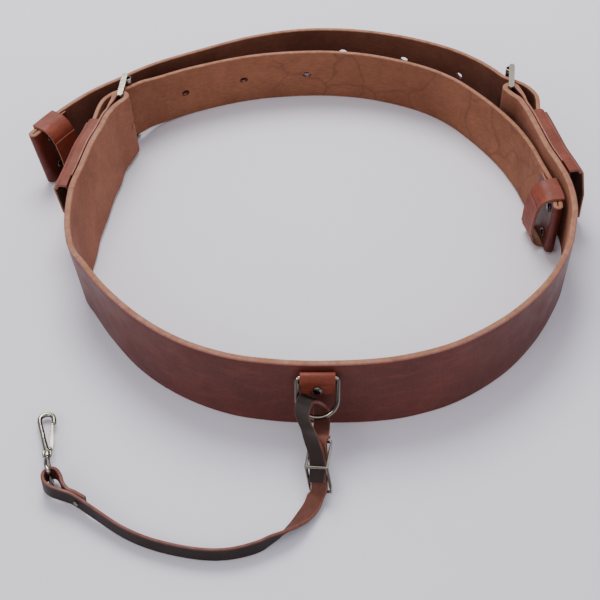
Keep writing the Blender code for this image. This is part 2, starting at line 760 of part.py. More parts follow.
def dee_ring(finishes):
    corner = 2.6
    path = []
    for sign in (-1, 1):
        for step in range(4):
            turn = math.radians(90 * step / 3)
            if sign > 0:
                turn = math.radians(90) - turn
            across = DEE_HALF - corner + corner * math.sin(turn)
            down = corner - corner * math.cos(turn)
            path.append(DEE_BAR + Vector((sign * across, 0, 0)) + DEE_DOWN * down)
        if sign < 0:
            for step in range(13):
                turn = math.pi * step / 12
                x = -DEE_HALF * math.cos(turn)
                path.append(DEE_BAR + Vector((x, 0, 0)) + DEE_DOWN * (DEE_LEG + DEE_HALF * math.sin(turn)))
    rod("dee_ring", path, DEE_WIRE, finishes["nickel"], closed=True, origin=DEE_BAR)


def chape(cinch_strap, finishes):
    """The short strap folded over the dee's straight bar, and its Chicago screw."""
    radius = DEE_WIRE + LEATHER_GAP + CHAPE_THICK / 2
    layer = CHAPE_THICK + LEATHER_GAP
    back = -(CINCH_THICK + CHAPE_THICK) / 2 - LEATHER_GAP
    path = [(back + CINCH_SLOPE * z, z) for z in (CHAPE_BOTTOM, 52, 58, 64)]
    for step in range(9):
        turn = math.pi * step / 8
        path.append((DEE_BAR.y + radius * math.cos(turn), DEE_BAR.z + radius * math.sin(turn)))
    path += [(-7.2, 63.4), (-5.7, 60.4)]
    path += [(back - layer + CINCH_SLOPE * z, z) for z in (57.6, 52, CHAPE_BOTTOM)]
    half, thick = CHAPE_WIDTH / 2, CHAPE_THICK / 2
    rings = []
    last = len(path) - 1
    for i, (y, z) in enumerate(path):
        before, after = Vector(path[max(i - 1, 0)]), Vector(path[min(i + 1, last)])
        way = (after - before).normalized()
        side = Vector((way.y, -way.x))
        ease = 0.5
        ring = [
            (-half, -thick + ease), (-half + ease, -thick), (half - ease, -thick), (half, -thick + ease),
            (half, thick - ease), (half - ease, thick), (-half + ease, thick), (-half, thick - ease),
        ]
        rings.append([Vector((x, y + side.x * t, z + side.y * t)) for x, t in ring])
    verts, faces = loft(rings)
    folded = mesh_object("dee_chape", verts, faces, finishes["keeper"])
    height = 50.0
    inner_face = Vector((0, height * CINCH_SLOPE + CINCH_THICK / 2 + LEATHER_GAP, height))
    grip = CINCH_THICK + 2 * layer + 2 * LEATHER_GAP
    chicago_screw("chape", inner_face, (0, 1, -CINCH_SLOPE), grip, finishes, [cinch_strap, folded])


# ---------------------------------------------------------------- connector strap

CONWAY_MIDDLE = Vector((2.8, -70.6, 21.7))
CONWAY_WAY = Vector((0, -0.719, -0.695)).normalized()
CONWAY_UP = CONWAY_WAY.cross(Vector((0.88, -0.33, 0.33))).normalized()
CONWAY_ACROSS = CONWAY_UP.cross(CONWAY_WAY)
CONWAY_RISE = 9.0


def conway_point(along, across, up):
    return CONWAY_MIDDLE + CONWAY_WAY * along + CONWAY_ACROSS * across + CONWAY_UP * up


def connector_rows():
    """Centre points and width directions, from the tail under the conway round to the snap loop."""
    flat = tuple(CONWAY_ACROSS)

    def layer(along, up, shift=0.0):
        return (*conway_point(along, shift, up), *flat)

    upper = [layer(14, 7.2), layer(6, 5.9), layer(0, 5.5), layer(-12, 7.1, -0.8), layer(-22.5, 8.6, -4.0)]
    loop = [
        (-8.8, -46, 44, 0.89, -0.43, 0.13),
        (-13, -37, 47, 0.88, -0.47, 0.06),
        (-14.2, -29, 49, 0.86, -0.51, 0.02),
        (-13, -23, 50, 0.84, -0.54, 0),
        (-10, -16.8, 52, 0.84, -0.54, 0),
        (-5.5, -14.6, 49.5, 0.85, -0.52, 0),
        (-1, -13, 44, 0.87, -0.48, 0),
        (2.2, -11.2, 37, 0.9, -0.43, 0),
        (3.8, -9.6, 30.5, 0.93, -0.36, 0),
        (4.3, -12, 24.5, 0.95, -0.3, 0.05),
        (4.3, -20, 21.2, 0.96, -0.27, 0.1),
        (3.8, -31, 24.3, 0.95, -0.28, 0.17),
        (2.2, -45, 31, 0.91, -0.3, 0.27),
    ]
    lower = [layer(-26.4, -3.5), layer(-25.7, 1.6), layer(-22.5, 3.7), layer(-12, 2.6), layer(0, 1.7), layer(12, 2.6), layer(22.5, 3.6)]
    floor = [
        (-1.2, -91, 6.0, 0.93, -0.33, 0.15),
        (-5.2, -101.5, 4.6, 0.88, -0.45, 0.14),
        (-11.5, -112, 4.9, 0.78, -0.55, 0.3),
        (-19.5, -122.8, 6.7, 0.58, -0.5, 0.6),
        (-31.5, -134, 8.3, 0.3, -0.3, 0.9),
        (-42.5, -141, 8.4, 0.1, -0.1, 0.99),
        (-52, -147, 8.2, 0, 0, 1),
        (-77, -154.6, 8.2, 0, 0, 1),
        (-103, -154.8, 8.2, 0, 0, 1),
        (-143, -145.5, 8.2, 0, 0, 1),
        (-171, -132.8, 8.6, 0, 0, 1),
        (-200, -113, 10.6, 0, 0, 1),
        (-211, -105, 11.4, 0, 0, 1),
        (-221, -98.6, 11.9, 0, 0, 1),
        (-232, -94.2, 12, 0, 0, 1),
        (-241, -90.3, 12, 0, 0, 1),
        (-247, -84.3, 12, 0, 0, 1),
        (-248.5, -77, 12, 0, 0, 1),
        (-244.5, -71, 12, 0, 0, 1),
        (-238, -71.3, 12, 0, 0, 1),
        (-232.8, -78, 12, 0, 0, 1),
        (-229.5, -86.5, 11.9, 0, 0, 1),
        (-224.6, -92.9, 11.8, 0, 0, 1),
        (-216.8, -97, 11.7, 0, 0, 1),
        (-207.8, -102.6, 11.4, 0, 0, 1),
    ]
    return upper + loop + lower + floor


def connector(finishes):
    rows = spline(connector_rows(), 5.5, space=3)
    last = len(rows) - 1
    half, thick, ease = CONNECTOR_WIDTH / 2, CONNECTOR_THICK / 2, 0.5
    rings = []
    for i, row in enumerate(rows):
        here, across = Vector(row[:3]), Vector(row[3:]).normalized()
        way = Vector(rows[min(i + 1, last)][:3]) - Vector(rows[max(i - 1, 0)][:3])
        up = across.cross(way).normalized()
        section = [
            (-half, -thick + ease), (-half + ease, -thick), (half - ease, -thick), (half, -thick + ease),
            (half, thick - ease), (half - ease, thick), (-half + ease, thick), (-half, thick - ease),
        ]
        rings.append([here + across * a + up * b for a, b in reversed(section)])
    verts, faces = loft(rings)
    strap = mesh_object("connector_strap", verts, faces, finishes["connector"])
    hole = turned(
        "connector_hole", conway_point(0, 0, 9), -CONWAY_UP, [(0, 2.3), (18, 2.3)],
        finishes["connector"], sides=16,
    )
    boolean(strap, hole, "DIFFERENCE")
    connector_rivet(strap, finishes)


def connector_rivet(strap, finishes):
    """The rivet that closes the loop round the snap's eye."""
    axis = Vector((0.54, 0.84, 0))
    start = Vector((-215.2, -102.3, 11.6)) - axis * (CONNECTOR_THICK / 2 + 1.6)
    length = 2 * CONNECTOR_THICK + 4.2
    turned(
        "connector_rivet", start, axis,
        [(0, 2.0), (0.9, 3.0), (0.9, 1.3), (length - 0.9, 1.3), (length - 0.9, 3.0), (length, 2.0)],
        finishes["nickel"], sides=16,
    )
    hole = turned(
        "connector_rivet_hole", start - axis * 4, axis, [(0, 1.6), (length + 8, 1.6)],
        finishes["nickel"], sides=12,
    )
    boolean(strap, hole, "DIFFERENCE")


def conway(finishes):
    """A bent frame: end bars behind the strap, a centre bar with a fixed prong in front."""
    outline = []
    for side in (-1, 1):
        for step in range(9):
            share = (-1 + step / 4) * -side
            up = CONWAY_RISE * (1 - abs(share)) ** 1.15
            across = CONWAY_HALF_WIDTH * side
            outline.append(conway_point(CONWAY_HALF_LENGTH * share, across, up))
    frame = rod(
        "conway_buckle", outline, CONWAY_WIRE, finishes["nickel"], closed=True,
        origin=CONWAY_MIDDLE, sides=10,
    )
    bar = turned(
        "conway_centre_bar", conway_point(0, -CONWAY_HALF_WIDTH, CONWAY_RISE), CONWAY_ACROSS,
        [(0, CONWAY_WIRE + 0.1), (2 * CONWAY_HALF_WIDTH, CONWAY_WIRE + 0.1)], finishes["nickel"], sides=12,
    )
    boolean(frame, bar, "UNION")
    prong = turned(
        "conway_prong", conway_point(0, 0, CONWAY_RISE), -CONWAY_UP,
        [(0, 1.5), (CONWAY_RISE + 1.2, 1.5), (CONWAY_RISE + 2.2, 1.0)], finishes["nickel"], sides=12,
    )
    boolean(frame, prong, "UNION")


# ---------------------------------------------------------------- swivel snap

SNAP_NECK = Vector((-248.5, -53.0, 12.0))
SNAP_WAY = Vector((-0.154, 0.98, -0.125)).normalized()
SNAP_RIGHT = SNAP_WAY.cross(Vector((0, 0, 1))).normalized()
SNAP_UP = SNAP_RIGHT.cross(SNAP_WAY)


def snap_point(right, along, up=0.0):
    return SNAP_NECK + SNAP_RIGHT * right + SNAP_WAY * along + SNAP_UP * up


def snap_eye(finishes):
    """A triangular eye through the strap's loop, and the swivel stem with its button."""
    end = Vector((-242.6, -77.4, 0))
    low, high, wire = 1.9, 22.3, 1.7
    path = [
        snap_point(0, -2.0), snap_point(0.0, -5.0, 3.0), Vector((end.x - 3.0, end.y + 12.0, high - 1.0)),
        Vector((end.x - 1.4, end.y + 5.0, high)), Vector((end.x, end.y + 0.8, high)),
        Vector((end.x, end.y, high - 1.6)), Vector((end.x, end.y, low + 1.6)),
        Vector((end.x, end.y + 0.8, low)), Vector((end.x - 1.4, end.y + 5.0, low)),
        Vector((end.x - 3.0, end.y + 12.0, low + 1.0)), snap_point(0.0, -5.0, -3.0),
    ]
    eye = rod("snap_swivel_eye", path, wire, finishes["nickel"], closed=True, origin=SNAP_NECK, sides=10)
    stem = turned(
        "snap_stem", snap_point(0, -3.2), SNAP_WAY,
        [(0, 2.6), (2.4, 2.6), (2.4, 1.5), (6.4, 1.5), (6.4, 2.5), (8.4, 2.5)], finishes["nickel"], sides=16,
    )
    boolean(eye, stem, "UNION")


def snap_hook(finishes):
    """A collar that turns on the stem, a cheek for the gate, and the hooked bar."""
    collar_outer, collar_inner = [], []
    for along, radius in ((0.0, 3.3), (0.8, 4.0), (2.8, 4.0)):
        here = snap_point(0, along)
        collar_outer.append(circle(here, SNAP_UP, SNAP_RIGHT, radius, 20))
        collar_inner.append(circle(here, SNAP_UP, SNAP_RIGHT, 1.8, 20))
    verts, faces = loft_pipe(collar_outer, collar_inner)
    hook = mesh_object("snap_hook", verts, faces, finishes["nickel"], SNAP_NECK)
    for sign in (-1, 1):
        post = rod(
            f"snap_yoke_{sign}",
            [snap_point(3.3 * sign, 1.6), snap_point(3.9 * sign, 4.5), snap_point(3.0 * sign, 7.2),
             snap_point(0.9 * sign, 8.8)],
            1.15, finishes["nickel"], sides=10,
        )
        boolean(hook, post, "UNION")
    path = [(0.4, 8.0), (-0.8, 11), (-2.4, 20), (-3.9, 31), (-5.6, 42), (-6.4, 49)]
    for step in range(1, 9):
        turn = math.radians(180 - 22.5 * step)
        path.append((0.2 + 6.6 * math.cos(turn), 50.5 + 6.6 * math.sin(turn)))
    path += [(7.0, 47), (6.9, 44.2)]
    bar = rod("snap_bar", [snap_point(*p) for p in path], SNAP_WIRE, finishes["nickel"], sides=12)
    boolean(hook, bar, "UNION")
    cheek = rod(
        "snap_cheek", [snap_point(-1.5, 10.0), snap_point(1.6, 9.6), snap_point(4.2, 10.4)], 2.3,
        finishes["nickel"], sides=12,
    )
    boolean(hook, cheek, "UNION")
    groove = box_between(
        "snap_gate_groove", snap_point(1.4, 7.0, -1.35), SNAP_RIGHT * 8, SNAP_WAY * 30, SNAP_UP * 2.7,
        finishes["nickel"],
    )
    boolean(hook, groove, "DIFFERENCE")
    pin_hole = turned(
        "snap_pin_hole", snap_point(4.0, 10.3, -5), SNAP_UP, [(0, 0.85), (10, 0.85)],
        finishes["nickel"], sides=12,
    )
    boolean(hook, pin_hole, "DIFFERENCE")


def box_between(name, corner, along_x, along_y, along_z, finish, origin=None):
    low = [corner, corner + along_x, corner + along_x + along_y, corner + along_y]
    high = [point + along_z for point in low]
    verts, faces = loft([low, high])
    return mesh_object(name, verts, faces, finish, corner if origin is None else origin)


def snap_gate(finishes):
    """The sprung strip that closes the hook, and the pin it turns on."""
    pivot = snap_point(4.0, 10.3)
    outline = [(2.6, 9.6), (3.2, 8.7), (4.6, 8.7), (5.6, 9.6), (6.2, 20), (6.2, 43.7), (4.4, 43.7), (2.6, 20)]
    half = 1.1
    rings = []
    for up in (-half, half):
        rings.append([snap_point(right, along, up) for right, along in outline])
    verts, faces = loft(rings)
    gate = mesh_object("snap_gate", verts, faces, finishes["nickel"], pivot)
    hole = turned(
        "snap_gate_hole", snap_point(4.0, 10.3, -5), SNAP_UP, [(0, 0.85), (10, 0.85)],
        finishes["nickel"], sides=12,
    )
    boolean(gate, hole, "DIFFERENCE")
    turned(
        "snap_gate_pin", snap_point(4.0, 10.3, -2.5), SNAP_UP, [(0, 0.75), (5.0, 0.75)],
        finishes["nickel"], sides=12,
    )


# ---------------------------------------------------------------- assembly

def clear_scene():
    for item in list(bpy.data.objects):
        bpy.data.objects.remove(item, do_unlink=True)


def main():
    clear_scene()
    finishes = {
        "cinch": material("oiled_cinch_leather", (0.20, 0.058, 0.032), 0.45, 0.0),
        "billet": material("oiled_billet_leather", (0.24, 0.075, 0.035), 0.5, 0.0),
        "keeper": material("orange_keeper_leather", (0.27, 0.055, 0.017), 0.4, 0.0),
        "connector": material("dark_connector_leather", (0.06, 0.022, 0.015), 0.5, 0.0),
        "nickel": material("nickel_plate", (0.62, 0.60, 0.55), 0.22, 1.0),
    }
    cinch_strap, cinch_line = cinch(finishes)
    cinch_keepers(cinch_line, finishes)
    left, left_line = billet("left", BILLET_LEFT_BODY, finishes)
    right, right_line = billet("right", BILLET_RIGHT_BODY, finishes)
    billet_end("left", left, left_line, finishes)
    billet_end("right", right, right_line, finishes)
    billet_holes("left", left, left_line, (-214.8, 416.4), finishes)
    billet_holes("right", right, right_line, (225.5, 437.5), finishes)

    for layout in (LEFT_BUCKLE, RIGHT_BUCKLE):
        buckle_frame(layout, finishes)
        buckle_roller(layout, finishes)
        pivot, direction, length = buckle_tongue(layout, finishes)
        host = left if layout.side == "left" else right
        tongue_passage(host, layout, pivot, direction, length, finishes)

    dee_ring(finishes)
    chape(cinch_strap, finishes)
    connector(finishes)
    conway(finishes)
    snap_eye(finishes)
    snap_hook(finishes)
    snap_gate(finishes)


main()
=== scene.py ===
"""The looks of a Western rear cinch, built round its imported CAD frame.

Metres, +Z up. Lengths are written in millimetres and multiplied by MM when a mesh is made.
Seen from above every strap is laid counter-clockwise, so the inside of the loop is on its left.
"""

import json
import math

import bpy
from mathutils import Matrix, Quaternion, Vector


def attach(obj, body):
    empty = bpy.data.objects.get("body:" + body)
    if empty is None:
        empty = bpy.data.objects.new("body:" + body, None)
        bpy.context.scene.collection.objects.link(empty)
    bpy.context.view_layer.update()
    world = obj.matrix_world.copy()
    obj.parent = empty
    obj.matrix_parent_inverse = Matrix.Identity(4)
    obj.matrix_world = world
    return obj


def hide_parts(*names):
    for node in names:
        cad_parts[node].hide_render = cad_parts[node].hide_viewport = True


MM = 0.001
SHARP_DEG = 38.0
# Fineness of the meshes
FINE_SPACING = 2.6
EDGE_ROUND = 1.1
EDGE_STEPS = 4
FACE_STEPS = 10
KEEPER_STEPS = 7
KEEPER_EDGE = 0.6
WIRE_SIDES = 24
HOLE_SIDES = 32
# Stage, in metres
FLOOR_HEIGHT = -0.0004
VEINS_FROM_X = -0.08
CAMERA_PLACE = Vector((-0.016, -0.8113, 1.0055))
CAMERA_TARGET = Vector((-0.016, 0.123, 0.038))
CAMERA_LENS = 81
CAMERA_SENSOR = 36

# Straps
CINCH_WIDTH = 76.2
CINCH_THICK = 6.3
CINCH_TAB_THICK = 2.6
BILLET_WIDTH = 63.5
BILLET_THICK = 4.8
CONNECTOR_WIDTH = 15.9
CONNECTOR_THICK = 3.3
LEATHER_GAP = 0.3
LOOP_BACK_WALL = 1.2
CINCH_KEEPER_WALL = 2.4
CINCH_KEEPER_CORNER = 6.5
BILLET_KEEPER_WALL = 2.2
BILLET_KEEPER_CORNER = 15.0
BILLET_KEEPER_FRONT = 21.5
HOLE_SPACING = 75.0
END_RISE = 3.5
STATION_SPACING = 8.0
# Buckles
BAR_RADIUS = 3.0
FOLD_RADIUS = BAR_RADIUS + 0.4 + CINCH_THICK / 2
FRAME_BAR_THICK = 3.0
FRAME_INSIDE = CINCH_WIDTH + 0.8
ROLLER_RADIUS = 4.5
ROLLER_HANG = 1.2
TONGUE_RADIUS = 2.2
TONGUE_HOLE_RADIUS = 3.1
TONGUE_SWING_DEG = 6.5
# Dee and chape
DEE_WIRE = 2.2
DEE_HALF = 19.1
DEE_LEG = 21.0
DEE_TILT_DEG = 25.0
DEE_CORNER = 2.6
DEE_CORNER_STEPS = 8
DEE_ROUND_STEPS = 48
CHAPE_WIDTH = 33.0
CHAPE_THICK = 3.2
CHAPE_BOTTOM = 46.0
DEE_BAR_HEIGHT = 66.0
CINCH_SLOPE = 6.5 / CINCH_WIDTH
DEE_BAR = Vector((0, -3.52, DEE_BAR_HEIGHT))


# ---------------------------------------------------------------- materials

GRAIN, FLESH, EDGE, BEVEL = range(4)


def srgb(red, green, blue):
    """A linear colour from 0-255 display values."""
    out = []
    for value in (red, green, blue):
        share = value / 255
        out.append(share / 12.92 if share <= 0.04045 else ((share + 0.055) / 1.055) ** 2.4)
    return (*out, 1.0)


class Nodes:
    """A material's node tree, with short calls that add and wire its nodes."""

    def __init__(self, name):
        self.material = bpy.data.materials.new(name)
        self.material.use_nodes = True
        self.tree = self.material.node_tree
        self.shader = self.tree.nodes["Principled BSDF"]
        self.place = self.add("ShaderNodeTexCoord").outputs["Object"]

    def add(self, kind, **values):
        node = self.tree.nodes.new(kind)
        for key, value in values.items():
            setattr(node, key, value)
        return node

    def wire(self, source, target):
        self.tree.links.new(source, target)

    def noise(self, scale, detail=4.0, roughness=0.55, stretch=None, warp=0.0):
        node = self.add("ShaderNodeTexNoise")
        node.inputs["Scale"].default_value = scale
        node.inputs["Detail"].default_value = detail
        node.inputs["Roughness"].default_value = roughness
        node.inputs["Distortion"].default_value = warp
        place = self.place
        if stretch:
            mapping = self.add("ShaderNodeMapping")
            mapping.inputs["Scale"].default_value = stretch
            self.wire(place, mapping.inputs["Vector"])
            place = mapping.outputs["Vector"]
        self.wire(place, node.inputs["Vector"])
        return node.outputs["Fac"]

    def ramp(self, source, stops):
        """A colour ramp through (position, colour) stops."""
        node = self.add("ShaderNodeValToRGB")
        first, last = node.color_ramp.elements
        first.position, first.color = stops[0]
        last.position, last.color = stops[-1]
        for position, color in stops[1:-1]:
            node.color_ramp.elements.new(position).color = color
        self.wire(source, node.inputs["Fac"])
        return node.outputs["Color"]

    def mix(self, kind, share, first, second):
        node = self.add("ShaderNodeMix", data_type="RGBA", blend_type=kind)
        for socket, value in (("Factor", share), ("A", first), ("B", second)):
            matching = [s for s in node.inputs if s.name == socket and s.enabled]
            if isinstance(value, bpy.types.NodeSocket):
                self.wire(value, matching[0])
            else:
                matching[0].default_value = value
        return [s for s in node.outputs if s.enabled][0]

    def spread(self, source, low, high):
        node = self.add("ShaderNodeMapRange")
        node.inputs["From Min"].default_value = 0.3
        node.inputs["From Max"].default_value = 0.7
        node.inputs["To Min"].default_value = low
        node.inputs["To Max"].default_value = high
        self.wire(source, node.inputs["Value"])
        return node.outputs["Result"]

    def bump(self, height, distance, strength=1.0, before=None):
        node = self.add("ShaderNodeBump")
        node.inputs["Distance"].default_value = distance
        node.inputs["Strength"].default_value = strength
        self.wire(height, node.inputs["Height"])
        if before:
            self.wire(before, node.inputs["Normal"])
        return node.outputs["Normal"]


def grain_leather(name, dark, light, gloss):
    """The smooth, oiled grain side: slow colour clouds, pores and fine creases."""
    made = Nodes(name)
    clouds = made.noise(16, 5, 0.6)
    color = made.ramp(clouds, [(0.3, srgb(*dark)), (0.72, srgb(*light))])
    specks = made.ramp(made.noise(420, 3, 0.7), [(0.3, (0.72, 0.7, 0.7, 1)), (0.62, (1.08, 1.06, 1.05, 1))])
    color = made.mix("MULTIPLY", 0.75, color, specks)
    scuffs = made.noise(70, 8, 0.7, stretch=(0.5, 0.5, 2.2))
    color = made.mix("MIX", made.spread(scuffs, -0.25, 0.22), color, srgb(*[v * 1.5 for v in light]))
    made.wire(color, made.shader.inputs["Base Color"])
    made.wire(made.spread(made.noise(35, 6), gloss - 0.08, gloss + 0.12), made.shader.inputs["Roughness"])
    made.shader.inputs["Specular IOR Level"].default_value = 0.28
    pores = made.add("ShaderNodeTexVoronoi")
    pores.inputs["Scale"].default_value = 900
    made.wire(made.place, pores.inputs["Vector"])
    normal = made.bump(pores.outputs["Distance"], 0.00012, 0.5)
    normal = made.bump(made.noise(120, 6, 0.65), 0.0005, 0.35, normal)
    normal = made.bump(made.noise(22, 2), 0.003, 0.2, normal)
    made.wire(normal, made.shader.inputs["Normal"])
    return made.material


def add_veins(made, strength, color, normal):
    """Branching creases right of VEINS_FROM_X: the edges of Voronoi cells in bent space."""
    wander = made.add("ShaderNodeTexNoise")
    wander.inputs["Scale"].default_value = 18
    made.wire(made.place, wander.inputs["Vector"])
    small = made.add("ShaderNodeVectorMath", operation="SCALE")
    small.inputs["Scale"].default_value = 0.055
    made.wire(wander.outputs["Color"], small.inputs[0])
    bend = made.add("ShaderNodeVectorMath", operation="ADD")
    made.wire(made.place, bend.inputs[0])
    made.wire(small.outputs["Vector"], bend.inputs[1])
    cells = made.add("ShaderNodeTexVoronoi", feature="DISTANCE_TO_EDGE")
    cells.inputs["Scale"].default_value = 15
    made.wire(bend.outputs["Vector"], cells.inputs["Vector"])
    line = made.ramp(cells.outputs["Distance"], [(0.0, (1, 1, 1, 1)), (0.035, (0, 0, 0, 1))])
    axes = made.add("ShaderNodeSeparateXYZ")
    made.wire(made.place, axes.inputs["Vector"])
    near = made.add("ShaderNodeMapRange")
    near.inputs["From Min"].default_value = VEINS_FROM_X
    near.inputs["From Max"].default_value = VEINS_FROM_X + 0.05
    made.wire(axes.outputs["X"], near.inputs["Value"])
    where = made.mix("MULTIPLY", 1.0, line, near.outputs["Result"])
    share = made.add("ShaderNodeMath", operation="MULTIPLY")
    share.inputs[1].default_value = strength
    made.wire(where, share.inputs[0])
    color = made.mix("MIX", share.outputs["Value"], color, srgb(78, 44, 36))
    return color, made.bump(cells.outputs["Distance"], 0.004, 0.12, normal)


def flesh_leather(name, dark, light, veins=0.0):
    """The matt, fibrous flesh side, with vein creases when veins is above zero."""
    made = Nodes(name)
    color = made.ramp(made.noise(13, 6, 0.62, warp=0.4), [(0.28, srgb(*dark)), (0.7, srgb(*light))])
    fibres = made.noise(260, 7, 0.75, stretch=(0.6, 0.6, 1.6))
    fibre_tint = made.ramp(fibres, [(0.3, (0.74, 0.7, 0.68, 1)), (0.68, (1.12, 1.1, 1.08, 1))])
    color = made.mix("MULTIPLY", 0.9, color, fibre_tint)
    normal = made.bump(fibres, 0.0006, 0.6)
    if veins:
        color, normal = add_veins(made, veins, color, normal)
    made.wire(color, made.shader.inputs["Base Color"])
    made.shader.inputs["Roughness"].default_value = 0.82
    made.shader.inputs["Specular IOR Level"].default_value = 0.25
    made.wire(made.bump(made.noise(40, 4), 0.0016, 0.3, normal), made.shader.inputs["Normal"])
    return made.material


def edge_leather(name, dark, light):
    """A cut edge: fine layers along the strap, burnished here and there."""
    made = Nodes(name)
    layers = made.noise(150, 8, 0.7, stretch=(1, 1, 0.4))
    color = made.ramp(layers, [(0.3, srgb(*dark)), (0.66, srgb(*light))])
    made.wire(color, made.shader.inputs["Base Color"])
    made.wire(made.spread(made.noise(60), 0.5, 0.75), made.shader.inputs["Roughness"])
    made.wire(made.bump(made.noise(520, 5, 0.7), 0.0004, 0.5), made.shader.inputs["Normal"])
    return made.material


def nickel(name, color, rough):
    """Plated metal with a painted reflection: dark and bright bands, set by how high the reflected ray
    points, are painted into the base colour; with soft scratches.
    """
    made = Nodes(name)
    reflection_axes = made.add("ShaderNodeSeparateXYZ")
    made.wire(made.tree.nodes["Texture Coordinate"].outputs["Reflection"], reflection_axes.inputs["Vector"])
    height = made.add("ShaderNodeMapRange")
    height.inputs["From Min"].default_value = -1.0
    made.wire(reflection_axes.outputs["Z"], height.inputs["Value"])
    # Painted reflection: a bright floor band, dark bands near the horizon and a bright ceiling band,
    # multiplied into the base colour below.
    painted_reflection_bands = made.ramp(height.outputs["Result"], [
        (0.0, (0.5, 0.5, 0.5, 1)), (0.34, (0.32, 0.32, 0.34, 1)), (0.46, (0.03, 0.03, 0.035, 1)),
        (0.68, (0.06, 0.06, 0.065, 1)), (0.8, (0.95, 0.95, 0.93, 1)), (1.0, (0.45, 0.45, 0.45, 1)),
    ])
    tint = made.ramp(made.noise(90, 6), [(0.3, srgb(*[v * 0.9 for v in color])), (0.65, srgb(*color))])
    made.wire(made.mix("MULTIPLY", 0.86, tint, painted_reflection_bands), made.shader.inputs["Base Color"])
    made.shader.inputs["Metallic"].default_value = 1.0
    scratches = made.noise(240, 8, 0.7)
    made.wire(made.spread(scratches, rough - 0.03, rough + 0.08), made.shader.inputs["Roughness"])
    corner = made.add("ShaderNodeBevel", samples=6)
    corner.inputs["Radius"].default_value = 0.0007
    normal = made.bump(made.noise(700, 4), 0.00003, 0.12, corner.outputs["Normal"])
    made.wire(normal, made.shader.inputs["Normal"])
    return made.material


def floor_material():
    made = Nodes("pale_floor")
    tint = made.ramp(made.noise(3, 3), [(0.3, srgb(226, 223, 232)), (0.7, srgb(230, 227, 236))])
    made.wire(tint, made.shader.inputs["Base Color"])
    made.shader.inputs["Roughness"].default_value = 0.7
    made.wire(made.bump(made.noise(150, 4), 0.0003, 0.12), made.shader.inputs["Normal"])
    return made.material


# ---------------------------------------------------------------- meshes

def mesh_object(name, verts, faces, slots, finishes):
    """A smooth mesh from millimetre points, with a material number for each face."""
    mesh = bpy.data.meshes.new(name)
    mesh.from_pydata([Vector(v) * MM for v in verts], [], faces)
    for finish in finishes:
        mesh.materials.append(finish)
    mesh.polygons.foreach_set("material_index", slots)
    mesh.shade_smooth()
    mesh.set_sharp_from_angle(angle=math.radians(SHARP_DEG))
    made = bpy.data.objects.new(name, mesh)
    bpy.context.scene.collection.objects.link(made)
    return made


def cut(target, cutter):
    """Takes the cutter's solid out of the target."""
    step = target.modifiers.new("cut", "BOOLEAN")
    step.operation = "DIFFERENCE"
    step.object = cutter
    graph = bpy.context.evaluated_depsgraph_get()
    finished = bpy.data.meshes.new_from_object(target.evaluated_get(graph))
    target.modifiers.clear()
    target.data = finished
    bpy.data.objects.remove(cutter)
    finished.set_sharp_from_angle(angle=math.radians(SHARP_DEG))


def loft(rings, ring_slots, cap_slot):
    """Points, faces and material numbers of a capped tube through closed rings."""
    count = len(rings[0])
    verts = [point for ring in rings for point in ring]
    faces = [tuple(reversed(range(count)))]
    slots = [cap_slot]
    for step in range(len(rings) - 1):
        low, high = step * count, (step + 1) * count
        for i in range(count):
            j = (i + 1) % count
            faces.append((low + i, low + j, high + j, high + i))
            slots.append(ring_slots[i])
    last = (len(rings) - 1) * count
    faces.append(tuple(range(last, last + count)))
    slots.append(cap_slot)
    return verts, faces, slots


def solid(name, rings, finish):
    verts, faces, slots = loft(rings, [0] * len(rings[0]), 0)
    return mesh_object(name, verts, faces, slots, [finish])


# ---------------------------------------------------------------- paths

def spline(rows, spacing, space=2):
    """A centripetal Catmull-Rom curve through rows of numbers, sampled about evenly.

    The first numbers of a row, as many as space says, are its place.
    """
    rows = [list(map(float, row)) for row in rows]

    def mix(a, b, share):
        return [x + (y - x) * share for x, y in zip(a, b)]

    def gap(a, b):
        return max(math.dist(a[:space], b[:space]), 1e-6) ** 0.5

    first = [2 * a - b for a, b in zip(rows[0], rows[1])]
    last = [2 * a - b for a, b in zip(rows[-1], rows[-2])]
    padded = [first] + rows + [last]
    out = []
    for i in range(1, len(padded) - 2):
        p0, p1, p2, p3 = padded[i - 1:i + 3]
        t1 = gap(p0, p1)
        t2 = t1 + gap(p1, p2)
        t3 = t2 + gap(p2, p3)
        steps = max(1, round(math.dist(p1[:space], p2[:space]) / spacing))
        for k in range(steps):
            t = t1 + (t2 - t1) * k / steps
            a1 = mix(p0, p1, t / t1)
            a2 = mix(p1, p2, (t - t1) / (t2 - t1))
            a3 = mix(p2, p3, (t - t2) / (t3 - t2))
            b1 = mix(a1, a2, t / t2)
            b2 = mix(a2, a3, (t - t1) / (t3 - t1))
            out.append(mix(b1, b2, (t - t1) / (t2 - t1)))
    out.append(padded[-2])
    return out


def arc(middle, radius, start_deg, end_deg, count, *rest):
    rows = []
    for i in range(count):
        turn = math.radians(start_deg + (end_deg - start_deg) * i / (count - 1))
        place = (middle[0] + radius * math.cos(turn), middle[1] + radius * math.sin(turn))
        rows.append((*place, *rest))
    return rows


class Station:
    """One place along a strap that stands on its edge."""

    def __init__(self, row, before, after, width):
        self.place = Vector(row[:2])
        self.lean = Vector(row[2:4])
        self.rise, self.thick = row[4:6]
        way = (Vector(after[:2]) - Vector(before[:2])).normalized()
        self.way = way
        self.inward = Vector((-way.y, way.x))
        self.width = width

    def point(self, inward, height):
        """A point at an offset towards the inside and a height above the strap's lower edge."""
        share = height / self.width - 0.5
        flat = self.place + self.inward * inward + self.lean * share
        return Vector((flat.x, flat.y, self.rise + height))


def stations(rows, width):
    """Stations at rows that already lie close together."""
    last = len(rows) - 1
    return [
        Station(row, rows[max(i - 1, 0)], rows[min(i + 1, last)], width)
        for i, row in enumerate(rows)
    ]


def of_thickness(thick, rows):
    return [(*row, thick) for row in rows]


